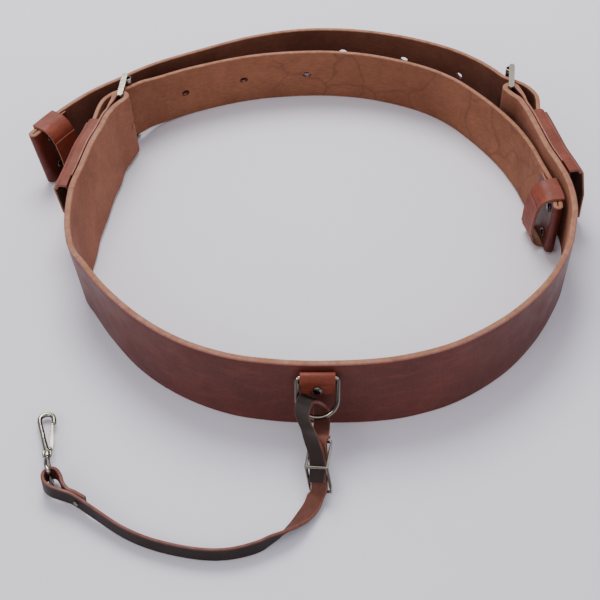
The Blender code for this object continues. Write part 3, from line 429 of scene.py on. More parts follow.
def beside(rows, distance, thicks):
    """Rows moved towards the inside, with a thickness that runs between two values."""
    moved = []
    last = len(rows) - 1
    for i, row in enumerate(rows):
        way = Vector(rows[min(i + 1, last)][:2]) - Vector(rows[max(i - 1, 0)][:2])
        way.normalize()
        place = Vector(row[:2]) + Vector((-way.y, way.x)) * distance
        thick = thicks[0] + (thicks[1] - thicks[0]) * i / last
        moved.append([place.x, place.y, *row[2:5], thick])
    return moved


def on_side(rows, sign, low_y, high_y):
    """The rows on one side of the loop between two distances behind the front."""
    return [row for row in rows if row[0] * sign > 0 and low_y <= row[1] <= high_y]


def side_points(low, high, fixed, steps):
    return [(fixed, low + (high - low) * i / steps) for i in range(1, steps)]


def strap_section(half, width):
    """Points of a strap's section, inward and up, and the slot of the face after each."""
    ease = min(EDGE_ROUND, half * 0.7)
    corners = (
        (-half + ease, ease, 180, BEVEL, EDGE), (half - ease, ease, 270, EDGE, FLESH),
        (half - ease, width - ease, 0, EDGE, EDGE), (-half + ease, width - ease, 90, BEVEL, GRAIN),
    )
    points, slots = [], []
    for number, (inward, up, start, corner_slot, next_slot) in enumerate(corners):
        for step in range(EDGE_STEPS + 1):
            turn = math.radians(start + 90 * step / EDGE_STEPS)
            points.append((inward + ease * math.cos(turn), up + ease * math.sin(turn)))
            slots.append(corner_slot if step < EDGE_STEPS else next_slot)
        if number in (1, 3):
            ends = (ease, width - ease) if number == 1 else (width - ease, ease)
            inside = side_points(*ends, half if number == 1 else -half, FACE_STEPS)
            points += inside
            slots += [next_slot] * len(inside)
    return points, slots


def standing_strap(name, rows, width, finishes):
    """A strap on its edge with grain outside, flesh inside and rounded cut edges."""
    rings = []
    for at in stations(spline(rows, FINE_SPACING), width):
        section, ring_slots = strap_section(at.thick / 2, width)
        rings.append([at.point(*place) for place in section])
    verts, faces, slots = loft(rings, ring_slots, EDGE)
    return mesh_object(name, verts, faces, slots, finishes)


def keeper_section(back, front, low, high, corner, bulge, sag):
    """A section flat at the back, with two round corners and a bulging front.

    sag is how much further the front stands off at the lower end than at the upper one.
    """
    side = 1 if front > back else -1
    lower, upper = [], []
    for step in range(KEEPER_STEPS + 1):
        turn = math.radians(90 * step / KEEPER_STEPS)
        near, far = corner * (1 - math.sin(turn)), corner * (1 - math.cos(turn))
        lower.append((front - side * near, low + far))
        upper.append((front - side * far, high - near))
    bulging = []
    for share in (-0.5, 0, 0.5):
        height = (low + high) / 2 + share * (high - low - 2 * corner)
        bulging.append((front + side * bulge * (1 - share * share * 2), height))
    section = [(back, low)]
    for inward, height in lower + bulging + upper:
        section.append((inward + side * sag * (high - height) / (high - low), height))
    section.append((back, high))
    if side < 0:
        section.reverse()
    return section


def strap_loop(name, rows, width, back, front, heights, wall, corner, bulge, sag, finishes):
    """A closed leather band lying along a standing strap, open at both ends."""
    side = 1 if front > back else -1
    low, high = heights
    line = stations(spline(rows, FINE_SPACING), width)
    # Each place: a station, a shift along the strap, and how far the section is drawn in.
    places = [(line[0], 0, KEEPER_EDGE), (line[0], KEEPER_EDGE, 0)]
    places += [(at, 0, 0) for at in line[1:-1]]
    places += [(line[-1], -KEEPER_EDGE, 0), (line[-1], 0, KEEPER_EDGE)]
    verts, faces, slots = [], [], []
    for at, shift, ease in places:
        outer = keeper_section(
            back + side * ease, front - side * ease, low + ease, high - ease, corner - ease, bulge, sag,
        )
        inner = keeper_section(
            back + side * (LOOP_BACK_WALL - ease * 0.4), front - side * (wall - ease), low + wall - ease,
            high - wall + ease, corner - wall + ease, bulge, sag,
        )
        move = Vector((at.way.x, at.way.y, 0)) * shift
        verts += [at.point(*place) + move for place in outer + inner]
    count = len(outer)
    rings = len(places)
    for ring in range(rings):
        low_at, high_at = ring * 2 * count, (ring + 1) * 2 * count
        for i in range(count):
            j = (i + 1) % count
            if ring == 0:
                faces.append((low_at + j, low_at + i, low_at + count + i, low_at + count + j))
                slots.append(EDGE)
            if ring == rings - 1:
                faces.append((low_at + i, low_at + j, low_at + count + j, low_at + count + i))
                slots.append(EDGE)
                continue
            faces.append((low_at + i, low_at + j, high_at + j, high_at + i))
            slots.append(BEVEL if ring in (0, rings - 2) else GRAIN)
            faces.append((low_at + count + j, low_at + count + i, high_at + count + i, high_at + count + j))
            slots.append(FLESH)
    return mesh_object(name, verts, faces, slots, finishes)


# ---------------------------------------------------------------- buckles

class BuckleLayout:
    """Where a roller buckle's bars are: heel bar, roller bar and the roller that hangs on it."""

    def __init__(self, side, heel, far_end, lean):
        self.side = side
        self.lean = Vector(lean)
        self.up = Vector((self.lean.x, self.lean.y, CINCH_WIDTH)).normalized()
        self.heel = Vector(heel)
        self.far_end = Vector(far_end)
        self.way = (self.far_end - self.heel).normalized()
        inward = Vector((self.way.y, -self.way.x))
        self.inward = inward if side == "left" else -inward
        self.roller_bar = self.far_end + self.inward * 1.0
        self.roller = self.roller_bar + self.inward * ROLLER_HANG
        self.low = END_RISE - LEATHER_GAP - FRAME_BAR_THICK
        self.high = self.low + FRAME_INSIDE + 2 * FRAME_BAR_THICK
        self.middle = (self.low + self.high) / 2

    def at(self, flat, height):
        """A point over a place given at mid-height."""
        moved = flat + self.lean * (height - self.middle) / CINCH_WIDTH
        return Vector((moved.x, moved.y, height))


LEFT_BUCKLE = BuckleLayout("left", (-213.8, 398.5), (-211.4, 431.5), (-5.8, 4.0))
RIGHT_BUCKLE = BuckleLayout("right", (221.6, 415.5), (226.0, 451.0), (0, 0))


def tongue_line(layout):
    """The tongue's pivot, direction and length."""
    outward = -layout.inward
    tip = layout.roller + outward * (ROLLER_RADIUS + TONGUE_RADIUS + 0.8) + layout.way * 5.0
    way = (tip - layout.heel).normalized()
    direction = Vector((way.x, way.y, 0))
    direction = (direction - layout.up * direction.dot(layout.up)).normalized()
    return layout.at(layout.heel, layout.middle), direction, (tip - layout.heel).length


def tongue_passage(layout, finish):
    """The oval hole in the billet, long enough for the tongue to swing outwards in it."""
    pivot, direction, length = tongue_line(layout)
    sign = 1 if layout.side == "left" else -1
    swing = Quaternion(layout.up, math.radians(TONGUE_SWING_DEG) * sign)
    rings = []
    for reach in (9.0, length):
        ring = []
        for step in range(HOLE_SIDES):
            turn = 2 * math.pi * step / HOLE_SIDES
            way = direction.copy()
            if math.cos(turn) * sign > 0:
                way.rotate(swing)
            across = layout.up.cross(way)
            ring.append(pivot + way * reach + across * TONGUE_HOLE_RADIUS * math.cos(turn)
                        + layout.up * TONGUE_HOLE_RADIUS * math.sin(turn))
        rings.append(ring)
    return solid("tongue_passage", rings, finish)


def tongue_slot(layout, finish):
    """The slot in the cinch's fold that the tongue's eye comes out of."""
    way = layout.way
    across = Vector((-way.y, way.x))
    reach, half, tall = 18.0, 10.4, 4.2
    near = layout.heel - way * 6.6
    base = [near - across * half, near + way * reach - across * half,
            near + way * reach + across * half, near + across * half]
    rings = [[layout.at(corner, layout.middle + z) for corner in base] for z in (-tall, tall)]
    return solid("tongue_slot", rings, finish)


# ---------------------------------------------------------------- cinch

# Rows hold place in plan at mid-height, shift in plan from the lower edge to the upper one,
# and rise off the floor.
CINCH_BODY = of_thickness(CINCH_THICK, [
    (-216.2, 379.5, -10.3, 6.2, END_RISE),
    (-222.3, 365, -11.5, 6.0, END_RISE),
    (-226.6, 341, -14.6, 5.9, END_RISE),
    (-231.9, 320.5, -16.1, 4.9, END_RISE),
    (-238.2, 280.4, -18.1, 2.3, END_RISE),
    (-243.3, 249, -19.5, -0.1, END_RISE),
    (-244.4, 219, -18.4, -2.3, 2.4),
    (-244.7, 188.8, -12.6, -3.2, 0.8),
    (-239.2, 160.2, -8.4, -3.2, 0),
    (-226, 138, -6.7, -3.3, 0),
    (-205, 106, -4.1, -2.9, 0),
    (-169, 64, 0, 0, 0),
    (-128, 33, 1.3, 2.2, 0),
    (-82, 13, 1.7, 5.0, 0),
    (-40, 5.3, 1.0, 6.4, 0),
    (-12, 3.25, 0.3, 6.5, 0),
    (12, 3.25, -0.3, 6.5, 0),
    (50, 5, -1.5, 7.3, 0),
    (84, 10.5, -2.6, 7.5, 0),
    (130, 27, -3.4, 5.9, 0),
    (178, 59.5, -2.7, 2.9, 0),
    (211, 94, 0, 0, 0),
    (233, 126, 2.6, -1.4, 0),
    (253.1, 168.2, 2.9, -0.9, 0.5),
    (259.8, 193.6, 2.0, -0.4, 1.2),
    (264.6, 213, 1.0, -0.1, 2),
    (266.4, 240, -1.0, 0, 2.8),
    (263.2, 263.4, 0, 0, END_RISE),
    (257, 287.7, 0, 0, END_RISE),
    (249.4, 312.5, 0, 0, END_RISE),
    (244.3, 335.7, 0, 0, END_RISE),
    (238.2, 364, 0, 0, END_RISE),
    (235.2, 376, 0, 0, END_RISE),
    (231.4, 388.3, 0, 0, END_RISE),
])
CINCH_TAB_OFFSET = (CINCH_THICK + CINCH_TAB_THICK) / 2 + 0.5
CINCH_TAB_TIP = 1.3


def cinch_strap(finishes):
    """The wide strap: each end passes round a heel bar and lies back on the outer side."""
    body = spline(CINCH_BODY, STATION_SPACING)
    middle = len(body) // 2
    left_run = [row for row in body[:middle] if 262 < row[1] < 373]
    left_tab = beside(list(reversed(left_run)), CINCH_TAB_OFFSET, (CINCH_TAB_TIP, CINCH_TAB_THICK))
    left_fold = [(-223.4, 382.5, -8.5, 5.0, END_RISE, 3.4), (-221.3, 392, -7.0, 4.5, END_RISE, 4.8)]
    left_fold += arc(
        LEFT_BUCKLE.heel, FOLD_RADIUS, 162, -32, 10, *LEFT_BUCKLE.lean, END_RISE, CINCH_THICK,
    )
    right_run = [row for row in body[middle:] if 282 < row[1] <= 389]
    right_tab = beside(list(reversed(right_run)), CINCH_TAB_OFFSET, (CINCH_TAB_THICK, CINCH_TAB_TIP))
    right_fold = [(228.6, 395.5, 0, 0, END_RISE, CINCH_THICK), (222.7, 402.3, 0, 0, END_RISE, CINCH_THICK)]
    right_fold += arc(RIGHT_BUCKLE.heel, FOLD_RADIUS, 220, 20, 10, 0, 0, END_RISE, CINCH_THICK)
    right_fold += [(231.6, 408.5, 0, 0, END_RISE, 4.8), (234.4, 399.5, 0, 0, END_RISE, 3.6)]
    rows = left_tab + left_fold + body + right_fold + right_tab
    strap = standing_strap("cinch_leather", rows, CINCH_WIDTH, finishes)
    for layout in (LEFT_BUCKLE, RIGHT_BUCKLE):
        cut(strap, tongue_slot(layout, finishes[EDGE]))
    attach(strap, "harness")
    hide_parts("cinch_strap")
    return body


def cinch_keepers(body, finishes):
    """The wide loops on the outside of the cinch that hold the billets' tips."""
    back = -(CINCH_TAB_OFFSET + CINCH_TAB_THICK / 2 + 0.4)
    heights = (-3.2, 74.2)
    for side, sign, reach, front, bulge, sag in (
        ("left", -1, (247, 361), -20.2, 5.5, 0.0), ("right", 1, (264, 378), -20.5, 6.0, 6.5),
    ):
        rows = on_side(body, sign, *reach)
        keeper = strap_loop(
            f"cinch_keeper_{side}_leather", rows, CINCH_WIDTH, back, front, heights,
            CINCH_KEEPER_WALL, CINCH_KEEPER_CORNER, bulge, sag, finishes,
        )
        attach(keeper, "harness")
        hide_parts("cinch_keeper_" + side)


# ---------------------------------------------------------------- billets

BILLET_TAB_OFFSET = BILLET_THICK + 0.8
BILLET_TAB_LENGTH = 48.0
BILLET_TAB_TIP = 1.4
BILLET_LEFT_BODY = of_thickness(BILLET_THICK, [
    (253.8, 232, 2.0, -0.1, 3),
    (252.8, 246, 4.0, -0.1, 3),
    (247, 272, 6.0, 0.5, 3),
    (239.4, 300, 7.8, 1.6, 2.5),
    (230.5, 336.5, 7.5, 2.8, 1.5),
    (214.5, 376, 6.0, 3.5, 0.5),
    (187, 420, 3.7, 3.4, 0),
    (158, 454, 1.8, 2.4, 0),
    (125, 477, 0.5, 0.9, 0),
    (74, 497, 0, 0, 0),
    (31, 505, 0, 0, 0),
    (-16, 505.5, 0, 0, 0),
    (-76, 497, 0, 0, 0),
    (-143, 473, -0.5, 0.8, 0.5),
    (-180, 450.4, -2.0, 2.2, 3),
    (-195, 436.1, -4.0, 3.8, 7.5),
    (-204.4, 425.2, -5.3, 4.6, 9.5),
    (-214.8, 416.4, -5.5, 4.3, 10.5),
    (-224.7, 408.7, -6.5, 4.6, 10.8),
    (-231.5, 398.9, -8.0, 5.1, 10.8),
    (-234.8, 386.4, -9.5, 5.5, 10.8),
    (-236.6, 371.2, -10.7, 5.5, 10.8),
    (-238, 355, -12.1, 5.3, 10.8),
    (-244.2, 323.5, -14.9, 4.5, 10.8),
    (-249.4, 296, -15.9, 2.9, 10.8),
])
BILLET_RIGHT_BODY = of_thickness(BILLET_THICK, [
    (264, 306, 0, 0, 10.8),
    (256.5, 335, 0, 0, 10.8),
    (251, 361, 0, 0, 10.8),
    (248.8, 384, 0, 0, 10.8),
    (250, 396, 0, 0, 10.8),
    (249.5, 409, 0, 0, 10.8),
    (243.5, 421.5, 0, 0, 10.8),
    (235, 431, 0, 0, 10.8),
    (225.5, 437.5, 0, 0, 10.5),
    (217, 445, 0, 0, 9.5),
    (209, 458, 0, 0, 8),
    (192, 484, 0, 0, 3.5),
    (161, 512, 0, 0, 0.5),
    (103, 538, 0, 0, 0),
    (44, 550.5, 0, 0, 0),
    (-16, 550.5, 0, 0, 0),
    (-75, 536, 0, 0, 0),
    (-133, 510, 0, 0, 0),
    (-190, 479.5, 0, 0, 0.5),
    (-222.9, 452, -1.9, 1.7, 1),
    (-252.4, 425.1, -4.1, 2.9, 2),
    (-283.5, 383.8, -9.9, 4.7, 2.6),
    (-304.9, 349.4, -13.3, 4.3, 2.6),
])

# Where the tongue goes through each billet, in plan
TONGUE_CROSSINGS = {"left": (-214.8, 416.4), "right": (225.5, 437.5)}


def folded_end(run, offset):
    """Rows past the end of a run: a tight turn and a skived tab lying along the run."""
    end, before = Vector(run[-1][:2]), Vector(run[-2][:2])
    way = (end - before).normalized()
    side = Vector((-way.y, way.x)) * (offset / 2)
    turn_rows = []
    for step in range(1, 8):
        turn = math.pi * step / 8
        place = end + way * abs(offset / 2) * math.sin(turn) + side * (1 - math.cos(turn))
        turn_rows.append([place.x, place.y, *run[-1][2:]])
    length, count = 0.0, 1
    while length < BILLET_TAB_LENGTH:
        length += math.dist(run[-count][:2], run[-count - 1][:2])
        count += 1
    tab = beside(run[-count:], offset, (BILLET_TAB_TIP, BILLET_THICK))
    return turn_rows + list(reversed(tab))


def nearest(line, place):
    return min(range(len(line)), key=lambda i: (line[i].place - Vector(place)).length)


def further(line, start, distance):
    """A station's number, a distance along the line from another one."""
    step = 1 if distance > 0 else -1
    travelled = 0.0
    while travelled < abs(distance):
        travelled += (line[start + step].place - line[start].place).length
        start += step
    return start


def oval_hole(at, finish):
    axis = Vector((at.inward.x, at.inward.y, 0))
    flat = Vector((axis.y, -axis.x, 0))
    middle = at.point(0, BILLET_WIDTH / 2)
    rings = []
    for reach in (8, -8):
        ring = []
        for step in range(HOLE_SIDES):
            turn = 2 * math.pi * step / HOLE_SIDES
            ring.append(middle - axis * reach + flat * 4.8 * math.cos(turn)
                        - Vector((0, 0, 1)) * 3.7 * math.sin(turn))
        rings.append(ring)
    return solid("oval_hole", rings, finish)


def billet(side, table, layout, finishes, keeper_finishes, hole_painted_shade_finish):
    """A billet with its folded end, its holes, and the loop round the folded end."""
    run = spline(table, STATION_SPACING)
    if side == "right":
        rows = run + folded_end(run, BILLET_TAB_OFFSET)
    else:
        rows = list(reversed(run))
        rows = list(reversed(rows + folded_end(rows, -BILLET_TAB_OFFSET)))
    strap = standing_strap(f"billet_{side}_leather", rows, BILLET_WIDTH, finishes)
    line = stations(run, BILLET_WIDTH)
    start = nearest(line, TONGUE_CROSSINGS[side])
    for number in range(1, 4):
        distance = HOLE_SPACING * number * (1 if side == "right" else -1)
        # The hole finish is a near-black cut edge: painted shade inside the holes.
        cut(strap, oval_hole(line[further(line, start, distance)], hole_painted_shade_finish))
    cut(strap, tongue_passage(layout, finishes[EDGE]))
    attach(strap, "harness")
    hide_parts("billet_" + side)
    ends = run[-6:-1] if side == "right" else on_side(run, 1, 236, 276)
    back = -(BILLET_THICK / 2 + 2 * LEATHER_GAP + LOOP_BACK_WALL)
    keeper = strap_loop(
        f"billet_keeper_{side}_leather", ends, BILLET_WIDTH, back, BILLET_KEEPER_FRONT,
        (-2.5, BILLET_WIDTH + 2.5), BILLET_KEEPER_WALL, BILLET_KEEPER_CORNER, 2.5, 0.0, keeper_finishes,
    )
    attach(keeper, "harness")
    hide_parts("billet_keeper_" + side)


# ---------------------------------------------------------------- chape

def flat_section(half, thick):
    """Points across a flat strap and the slot of the face after each: grain side down."""
    ease = min(0.8, thick * 0.7)
    corners = (
        (-half + ease, -thick + ease, 180, BEVEL, GRAIN), (half - ease, -thick + ease, 270, BEVEL, EDGE),
        (half - ease, thick - ease, 0, EDGE, FLESH), (-half + ease, thick - ease, 90, EDGE, EDGE),
    )
    points, slots = [], []
    for across, up, start, corner_slot, next_slot in corners:
        for step in range(EDGE_STEPS + 1):
            turn = math.radians(start + 90 * step / EDGE_STEPS)
            points.append((across + ease * math.cos(turn), up + ease * math.sin(turn)))
            slots.append(corner_slot if step < EDGE_STEPS else next_slot)
    return points, slots


def chape(finishes):
    """The short strap folded over the dee's straight bar."""
    radius = DEE_WIRE + LEATHER_GAP + CHAPE_THICK / 2
    layer = CHAPE_THICK + LEATHER_GAP
    back = -(CINCH_THICK + CHAPE_THICK) / 2 - LEATHER_GAP
    path = [(back + CINCH_SLOPE * z, z) for z in (CHAPE_BOTTOM, 52, 58, 64)]
    for step in range(9):
        turn = math.pi * step / 8
        path.append((DEE_BAR.y + radius * math.cos(turn), DEE_BAR.z + radius * math.sin(turn)))
    path += [(-7.2, 63.4), (-5.7, 60.4)]
    path += [(back - layer + CINCH_SLOPE * z, z) for z in (57.6, 52, CHAPE_BOTTOM)]
    path = spline(path, 1.2)
    last = len(path) - 1
    section, ring_slots = flat_section(CHAPE_WIDTH / 2, CHAPE_THICK / 2)
    rings = []
    for i, (y, z) in enumerate(path):
        before, after = Vector(path[max(i - 1, 0)]), Vector(path[min(i + 1, last)])
        way = (after - before).normalized()
        side = Vector((-way.y, way.x))
        rings.append([Vector((x, y + side.x * t, z + side.y * t)) for x, t in section])
    verts, faces, slots = loft(rings, ring_slots, EDGE)
    folded = mesh_object("dee_chape_leather", verts, faces, slots, finishes)
    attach(folded, "harness")
    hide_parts("dee_chape")


# ---------------------------------------------------------------- bent wire

def wire_rings(points, radii, closed):
    """Round sections square to a path, turned as little as possible from one to the next."""
    count = len(points)
    across = None
    rings = []
    for i, point in enumerate(points):
        before = points[i - 1] if closed or i > 0 else point
        after = points[(i + 1) % count] if closed or i < count - 1 else point
        way = (after - before).normalized()
        if across is None:
            across = way.orthogonal().normalized()
        across = (across - way * across.dot(way)).normalized()
        up = way.cross(across)
        ring = []
        for step in range(WIRE_SIDES):
            turn = 2 * math.pi * step / WIRE_SIDES
            ring.append(point + (across * math.cos(turn) + up * math.sin(turn)) * radii[i])
        rings.append(ring)
    return rings


def closed_wire(name, points, radius, finish):
    rings = wire_rings(points, [radius] * len(points), True)
    verts = [point for ring in rings for point in ring]
    faces = []
    for step in range(len(rings)):
        low, high = step * WIRE_SIDES, (step + 1) % len(rings) * WIRE_SIDES
        for i in range(WIRE_SIDES):
            j = (i + 1) % WIRE_SIDES
            faces.append((low + i, low + j, high + j, high + i))
    return mesh_object(name, verts, faces, [0] * len(faces), [finish])


def open_wire(name, points, radii, finish):
    """A wire with rounded ends."""
    first, last = points[0], points[-1]
    start_way = (first - points[1]).normalized()
    end_way = (last - points[-2]).normalized()
    points = [first + start_way * radii[0] * 0.6] + points + [last + end_way * radii[-1] * 0.6]
    radii = [radii[0] * 0.55] + radii + [radii[-1] * 0.55]
    return solid(name, wire_rings(points, radii, False), finish)


def dee_ring(finish):
    """A ring with one straight bar, two straight legs and a half-round far side."""
    lean = math.radians(DEE_TILT_DEG)
    down_way = Vector((0, -math.sin(lean), -math.cos(lean)))
    points = []
    for sign in (-1, 1):
        for step in range(DEE_CORNER_STEPS + 1):
            turn = math.radians(90 * step / DEE_CORNER_STEPS)
            turn = turn if sign < 0 else math.radians(90) - turn
            across = DEE_HALF - DEE_CORNER + DEE_CORNER * math.sin(turn)
            down = DEE_CORNER - DEE_CORNER * math.cos(turn)
            points.append(DEE_BAR + Vector((sign * across, 0, 0)) + down_way * down)
        if sign > 0:
            continue
        for step in range(DEE_ROUND_STEPS + 1):
            turn = math.pi * step / DEE_ROUND_STEPS
            down = DEE_LEG + DEE_HALF * math.sin(turn)
            points.append(DEE_BAR + Vector((-DEE_HALF * math.cos(turn), 0, 0)) + down_way * down)
    ring = closed_wire("dee_ring_metal", points, DEE_WIRE, finish)
    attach(ring, "dee")
    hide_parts("dee_ring")


# ---------------------------------------------------------------- snap

SNAP_NECK = Vector((-248.5, -53.0, 12.0))
SNAP_WAY = Vector((-0.154, 0.98, -0.125)).normalized()
SNAP_RIGHT = SNAP_WAY.cross(Vector((0, 0, 1))).normalized()
SNAP_UP = SNAP_RIGHT.cross(SNAP_WAY)
SNAP_WIRE = 2.4
EYE_WIRE = 1.95
# The eye's far end lies inside the connector's loop, between these two heights.
EYE_END = (-242.6, -77.4)
EYE_LOW, EYE_HIGH = 1.9, 22.3


def snap_point(right, along, up=0.0):
    return SNAP_NECK + SNAP_RIGHT * right + SNAP_WAY * along + SNAP_UP * up


def snap_turned(name, start, way, profile, finish):
    """A round part from (distance along the axis, radius) steps."""
    across = way.orthogonal().normalized()
    up = way.cross(across)
    rings = []
    for at, radius in profile:
        ring = []
        for step in range(WIRE_SIDES):
            turn = 2 * math.pi * step / WIRE_SIDES
            ring.append(start + way * at + (across * math.cos(turn) + up * math.sin(turn)) * radius)
        rings.append(ring)
    return solid(name, rings, finish)


def join(first, others):
    """Unites closed solids into the first one."""
    for other in others:
        step = first.modifiers.new("join", "BOOLEAN")
        step.operation = "UNION"
        step.object = other
        graph = bpy.context.evaluated_depsgraph_get()
        finished = bpy.data.meshes.new_from_object(first.evaluated_get(graph))
        first.modifiers.clear()
        first.data = finished
        bpy.data.objects.remove(other)
    first.data.shade_smooth()
    first.data.set_sharp_from_angle(angle=math.radians(SHARP_DEG))


def snap_eye(finish):
    """The wire eye through the strap's loop, with the swivel stem."""
    def at_end(x, y, z):
        return Vector((EYE_END[0] + x, EYE_END[1] + y, z))

    rows = [
        snap_point(0, -2.2), snap_point(-0.6, -5.5, 3.6),
        at_end(-4.6, 12.0, EYE_HIGH - 2.2), at_end(-2.6, 5.0, EYE_HIGH), at_end(-0.4, 0.9, EYE_HIGH - 0.4),
        at_end(0, 0, EYE_HIGH - 3.2), at_end(0, 0, SNAP_NECK.z), at_end(0, 0, EYE_LOW + 3.2),
        at_end(0.4, 0.9, EYE_LOW + 0.4), at_end(-0.4, 5.0, EYE_LOW), at_end(-2.4, 12.0, EYE_LOW + 1.6),
        snap_point(0.8, -5.5, -3.6), snap_point(0.1, -2.3, -0.3),
    ]
    points = [Vector(row) for row in spline(rows, 0.9, space=3)]
    eye = closed_wire("snap_eye_metal", points[:-1], EYE_WIRE, finish)
    stem = snap_turned("snap_stem", snap_point(0, -3.6), SNAP_WAY, [
        (0, 2.2), (0.6, 2.9), (2.2, 2.9), (2.8, 2.4), (2.8, 1.5), (6.8, 1.5), (6.8, 2.2), (7.4, 2.5),
        (8.6, 2.5), (9.0, 1.8),
    ], finish)
    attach(eye, "snap_eye")
    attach(stem, "snap_eye")
    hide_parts("snap_swivel_eye")


def snap_hook(finish):
    """The collar with its two yoke arms, the cheek of the gate, and the hooked bar."""
    parts = []
    for sign in (-1, 1):
        rows = [snap_point(2.8 * sign, 0.6), snap_point(3.3 * sign, 4.4), snap_point(2.7 * sign, 7.2),
                snap_point(0.8 * sign, 8.9)]
        arm = [Vector(row) for row in spline(rows, 0.6, space=3)]
        parts.append(open_wire(f"snap_arm_{sign}", arm, [1.25] * len(arm), finish))
    path = [(0.5, 7.6), (-0.8, 11), (-2.4, 20), (-3.9, 31), (-5.6, 42), (-6.4, 49)]
    for step in range(1, 9):
        turn = math.radians(180 - 22.5 * step)
        path.append((0.2 + 6.6 * math.cos(turn), 50.5 + 6.6 * math.sin(turn)))
    path += [(7.0, 47), (6.9, 44.4)]
    bar = [Vector(row) for row in spline([tuple(snap_point(*place)) for place in path], 0.8, space=3)]
    last = len(bar) - 1
    radii = [SNAP_WIRE + 0.5 * max(0.0, 1 - 4 * i / last) for i in range(last + 1)]
    hook = open_wire("snap_hook_metal", bar, radii, finish)
    cheek = [Vector(row) for row in spline(
        [snap_point(-1.5, 10.0), snap_point(1.6, 9.6), snap_point(4.2, 10.4)], 0.6, space=3)]
    parts.append(open_wire("snap_cheek", cheek, [1.8] * len(cheek), finish))
    collar = snap_turned("snap_collar", snap_point(0, -0.1), SNAP_WAY, [
        (0, 2.8), (0.5, 3.4), (2.4, 3.5), (3.0, 3.0),
    ], finish)
    join(hook, [collar, *parts])
    cut(hook, snap_groove(finish))
    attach(hook, "snap_hook")
    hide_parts("snap_hook")


def snap_groove(finish):
    """The slot in the cheek that the gate turns in."""
    corner = snap_point(1.4, 7.0, -1.35)
    right, along, up = SNAP_RIGHT * 8, SNAP_WAY * 30, SNAP_UP * 2.7
    low = [corner, corner + right, corner + right + along, corner + along]
    return solid("snap_groove", [low, [point + up for point in low]], finish)


# ---------------------------------------------------------------- connector

CONWAY_MIDDLE = Vector((2.8, -70.6, 21.7))
CONWAY_WAY = Vector((0, -0.719, -0.695)).normalized()
CONWAY_UP = CONWAY_WAY.cross(Vector((0.88, -0.33, 0.33))).normalized()
CONWAY_ACROSS = CONWAY_UP.cross(CONWAY_WAY)


def conway_point(along, across, up):
    return CONWAY_MIDDLE + CONWAY_WAY * along + CONWAY_ACROSS * across + CONWAY_UP * up


def connector_rows():
    """Centre points and width directions, from the tail under the conway round to the snap loop."""
    flat = tuple(CONWAY_ACROSS)

    def layer(along, up, shift=0.0):
        return (*conway_point(along, shift, up), *flat)

    upper = [layer(14, 7.2), layer(6, 5.9), layer(0, 5.5), layer(-12, 7.1, -0.8), layer(-22.5, 8.6, -4.0)]
    loop = [
        (-8.8, -46, 44, 0.89, -0.43, 0.13),
        (-13, -37, 47, 0.88, -0.47, 0.06),
        (-14.2, -29, 49, 0.86, -0.51, 0.02),
        (-13, -23, 50, 0.84, -0.54, 0),
        (-10, -16.8, 52, 0.84, -0.54, 0),
        (-5.5, -14.6, 49.5, 0.85, -0.52, 0),
        (-1, -13, 44, 0.87, -0.48, 0),
        (2.2, -11.2, 37, 0.9, -0.43, 0),
        (3.8, -9.6, 30.5, 0.93, -0.36, 0),
        (4.3, -12, 24.5, 0.95, -0.3, 0.05),
        (4.3, -20, 21.2, 0.96, -0.27, 0.1),
        (3.8, -31, 24.3, 0.95, -0.28, 0.17),
        (2.2, -45, 31, 0.91, -0.3, 0.27),
    ]
    lower = [
        layer(-26.4, -3.5), layer(-25.7, 1.6), layer(-22.5, 3.7), layer(-12, 2.6),
        layer(0, 1.7), layer(12, 2.6), layer(22.5, 3.6),
    ]
    floor = [
        (-1.2, -91, 6.0, 0.93, -0.33, 0.15),
        (-5.2, -101.5, 4.6, 0.88, -0.45, 0.14),
        (-11.5, -112, 4.9, 0.78, -0.55, 0.3),
        (-19.5, -122.8, 6.7, 0.58, -0.5, 0.6),
        (-31.5, -134, 8.3, 0.3, -0.3, 0.9),
        (-42.5, -141, 8.4, 0.1, -0.1, 0.99),
        (-52, -147, 8.2, 0, 0, 1),
        (-77, -154.6, 8.2, 0, 0, 1),
        (-103, -154.8, 8.2, 0, 0, 1),
        (-143, -145.5, 8.2, 0, 0, 1),
        (-171, -132.8, 8.6, 0, 0, 1),
        (-200, -113, 10.6, 0, 0, 1),
        (-211, -105, 11.4, 0, 0, 1),
        (-221, -98.6, 11.9, 0, 0, 1),
        (-232, -94.2, 12, 0, 0, 1),
        (-241, -90.3, 12, 0, 0, 1),
        (-247, -84.3, 12, 0, 0, 1),
        (-248.5, -77, 12, 0, 0, 1),
        (-244.5, -71, 12, 0, 0, 1),
        (-238, -71.3, 12, 0, 0, 1),
        (-232.8, -78, 12, 0, 0, 1),
        (-229.5, -86.5, 11.9, 0, 0, 1),
        (-224.6, -92.9, 11.8, 0, 0, 1),
        (-216.8, -97, 11.7, 0, 0, 1),
        (-207.8, -102.6, 11.4, 0, 0, 1),
    ]
    return upper + loop + lower + floor


def connector(finishes):
    rows = spline(connector_rows(), 1.8, space=3)
    last = len(rows) - 1
    section, ring_slots = flat_section(CONNECTOR_WIDTH / 2, CONNECTOR_THICK / 2)
    rings = []
    for i, row in enumerate(rows):
        here, across = Vector(row[:3]), Vector(row[3:]).normalized()
        way = Vector(rows[min(i + 1, last)][:3]) - Vector(rows[max(i - 1, 0)][:3])
        up = across.cross(way).normalized()
        rings.append([here - across * a - up * b for a, b in section])
    verts, faces, slots = loft(rings, ring_slots, EDGE)
    faces = [tuple(reversed(face)) for face in faces]
    strap = mesh_object("connector_leather", verts, faces, slots, finishes)
    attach(strap, "connector")
    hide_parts("connector_strap")


# ---------------------------------------------------------------- stage

def aim(thing, place, target):
    thing.location = place
    thing.rotation_euler = (target - place).to_track_quat("-Z", "Y").to_euler()


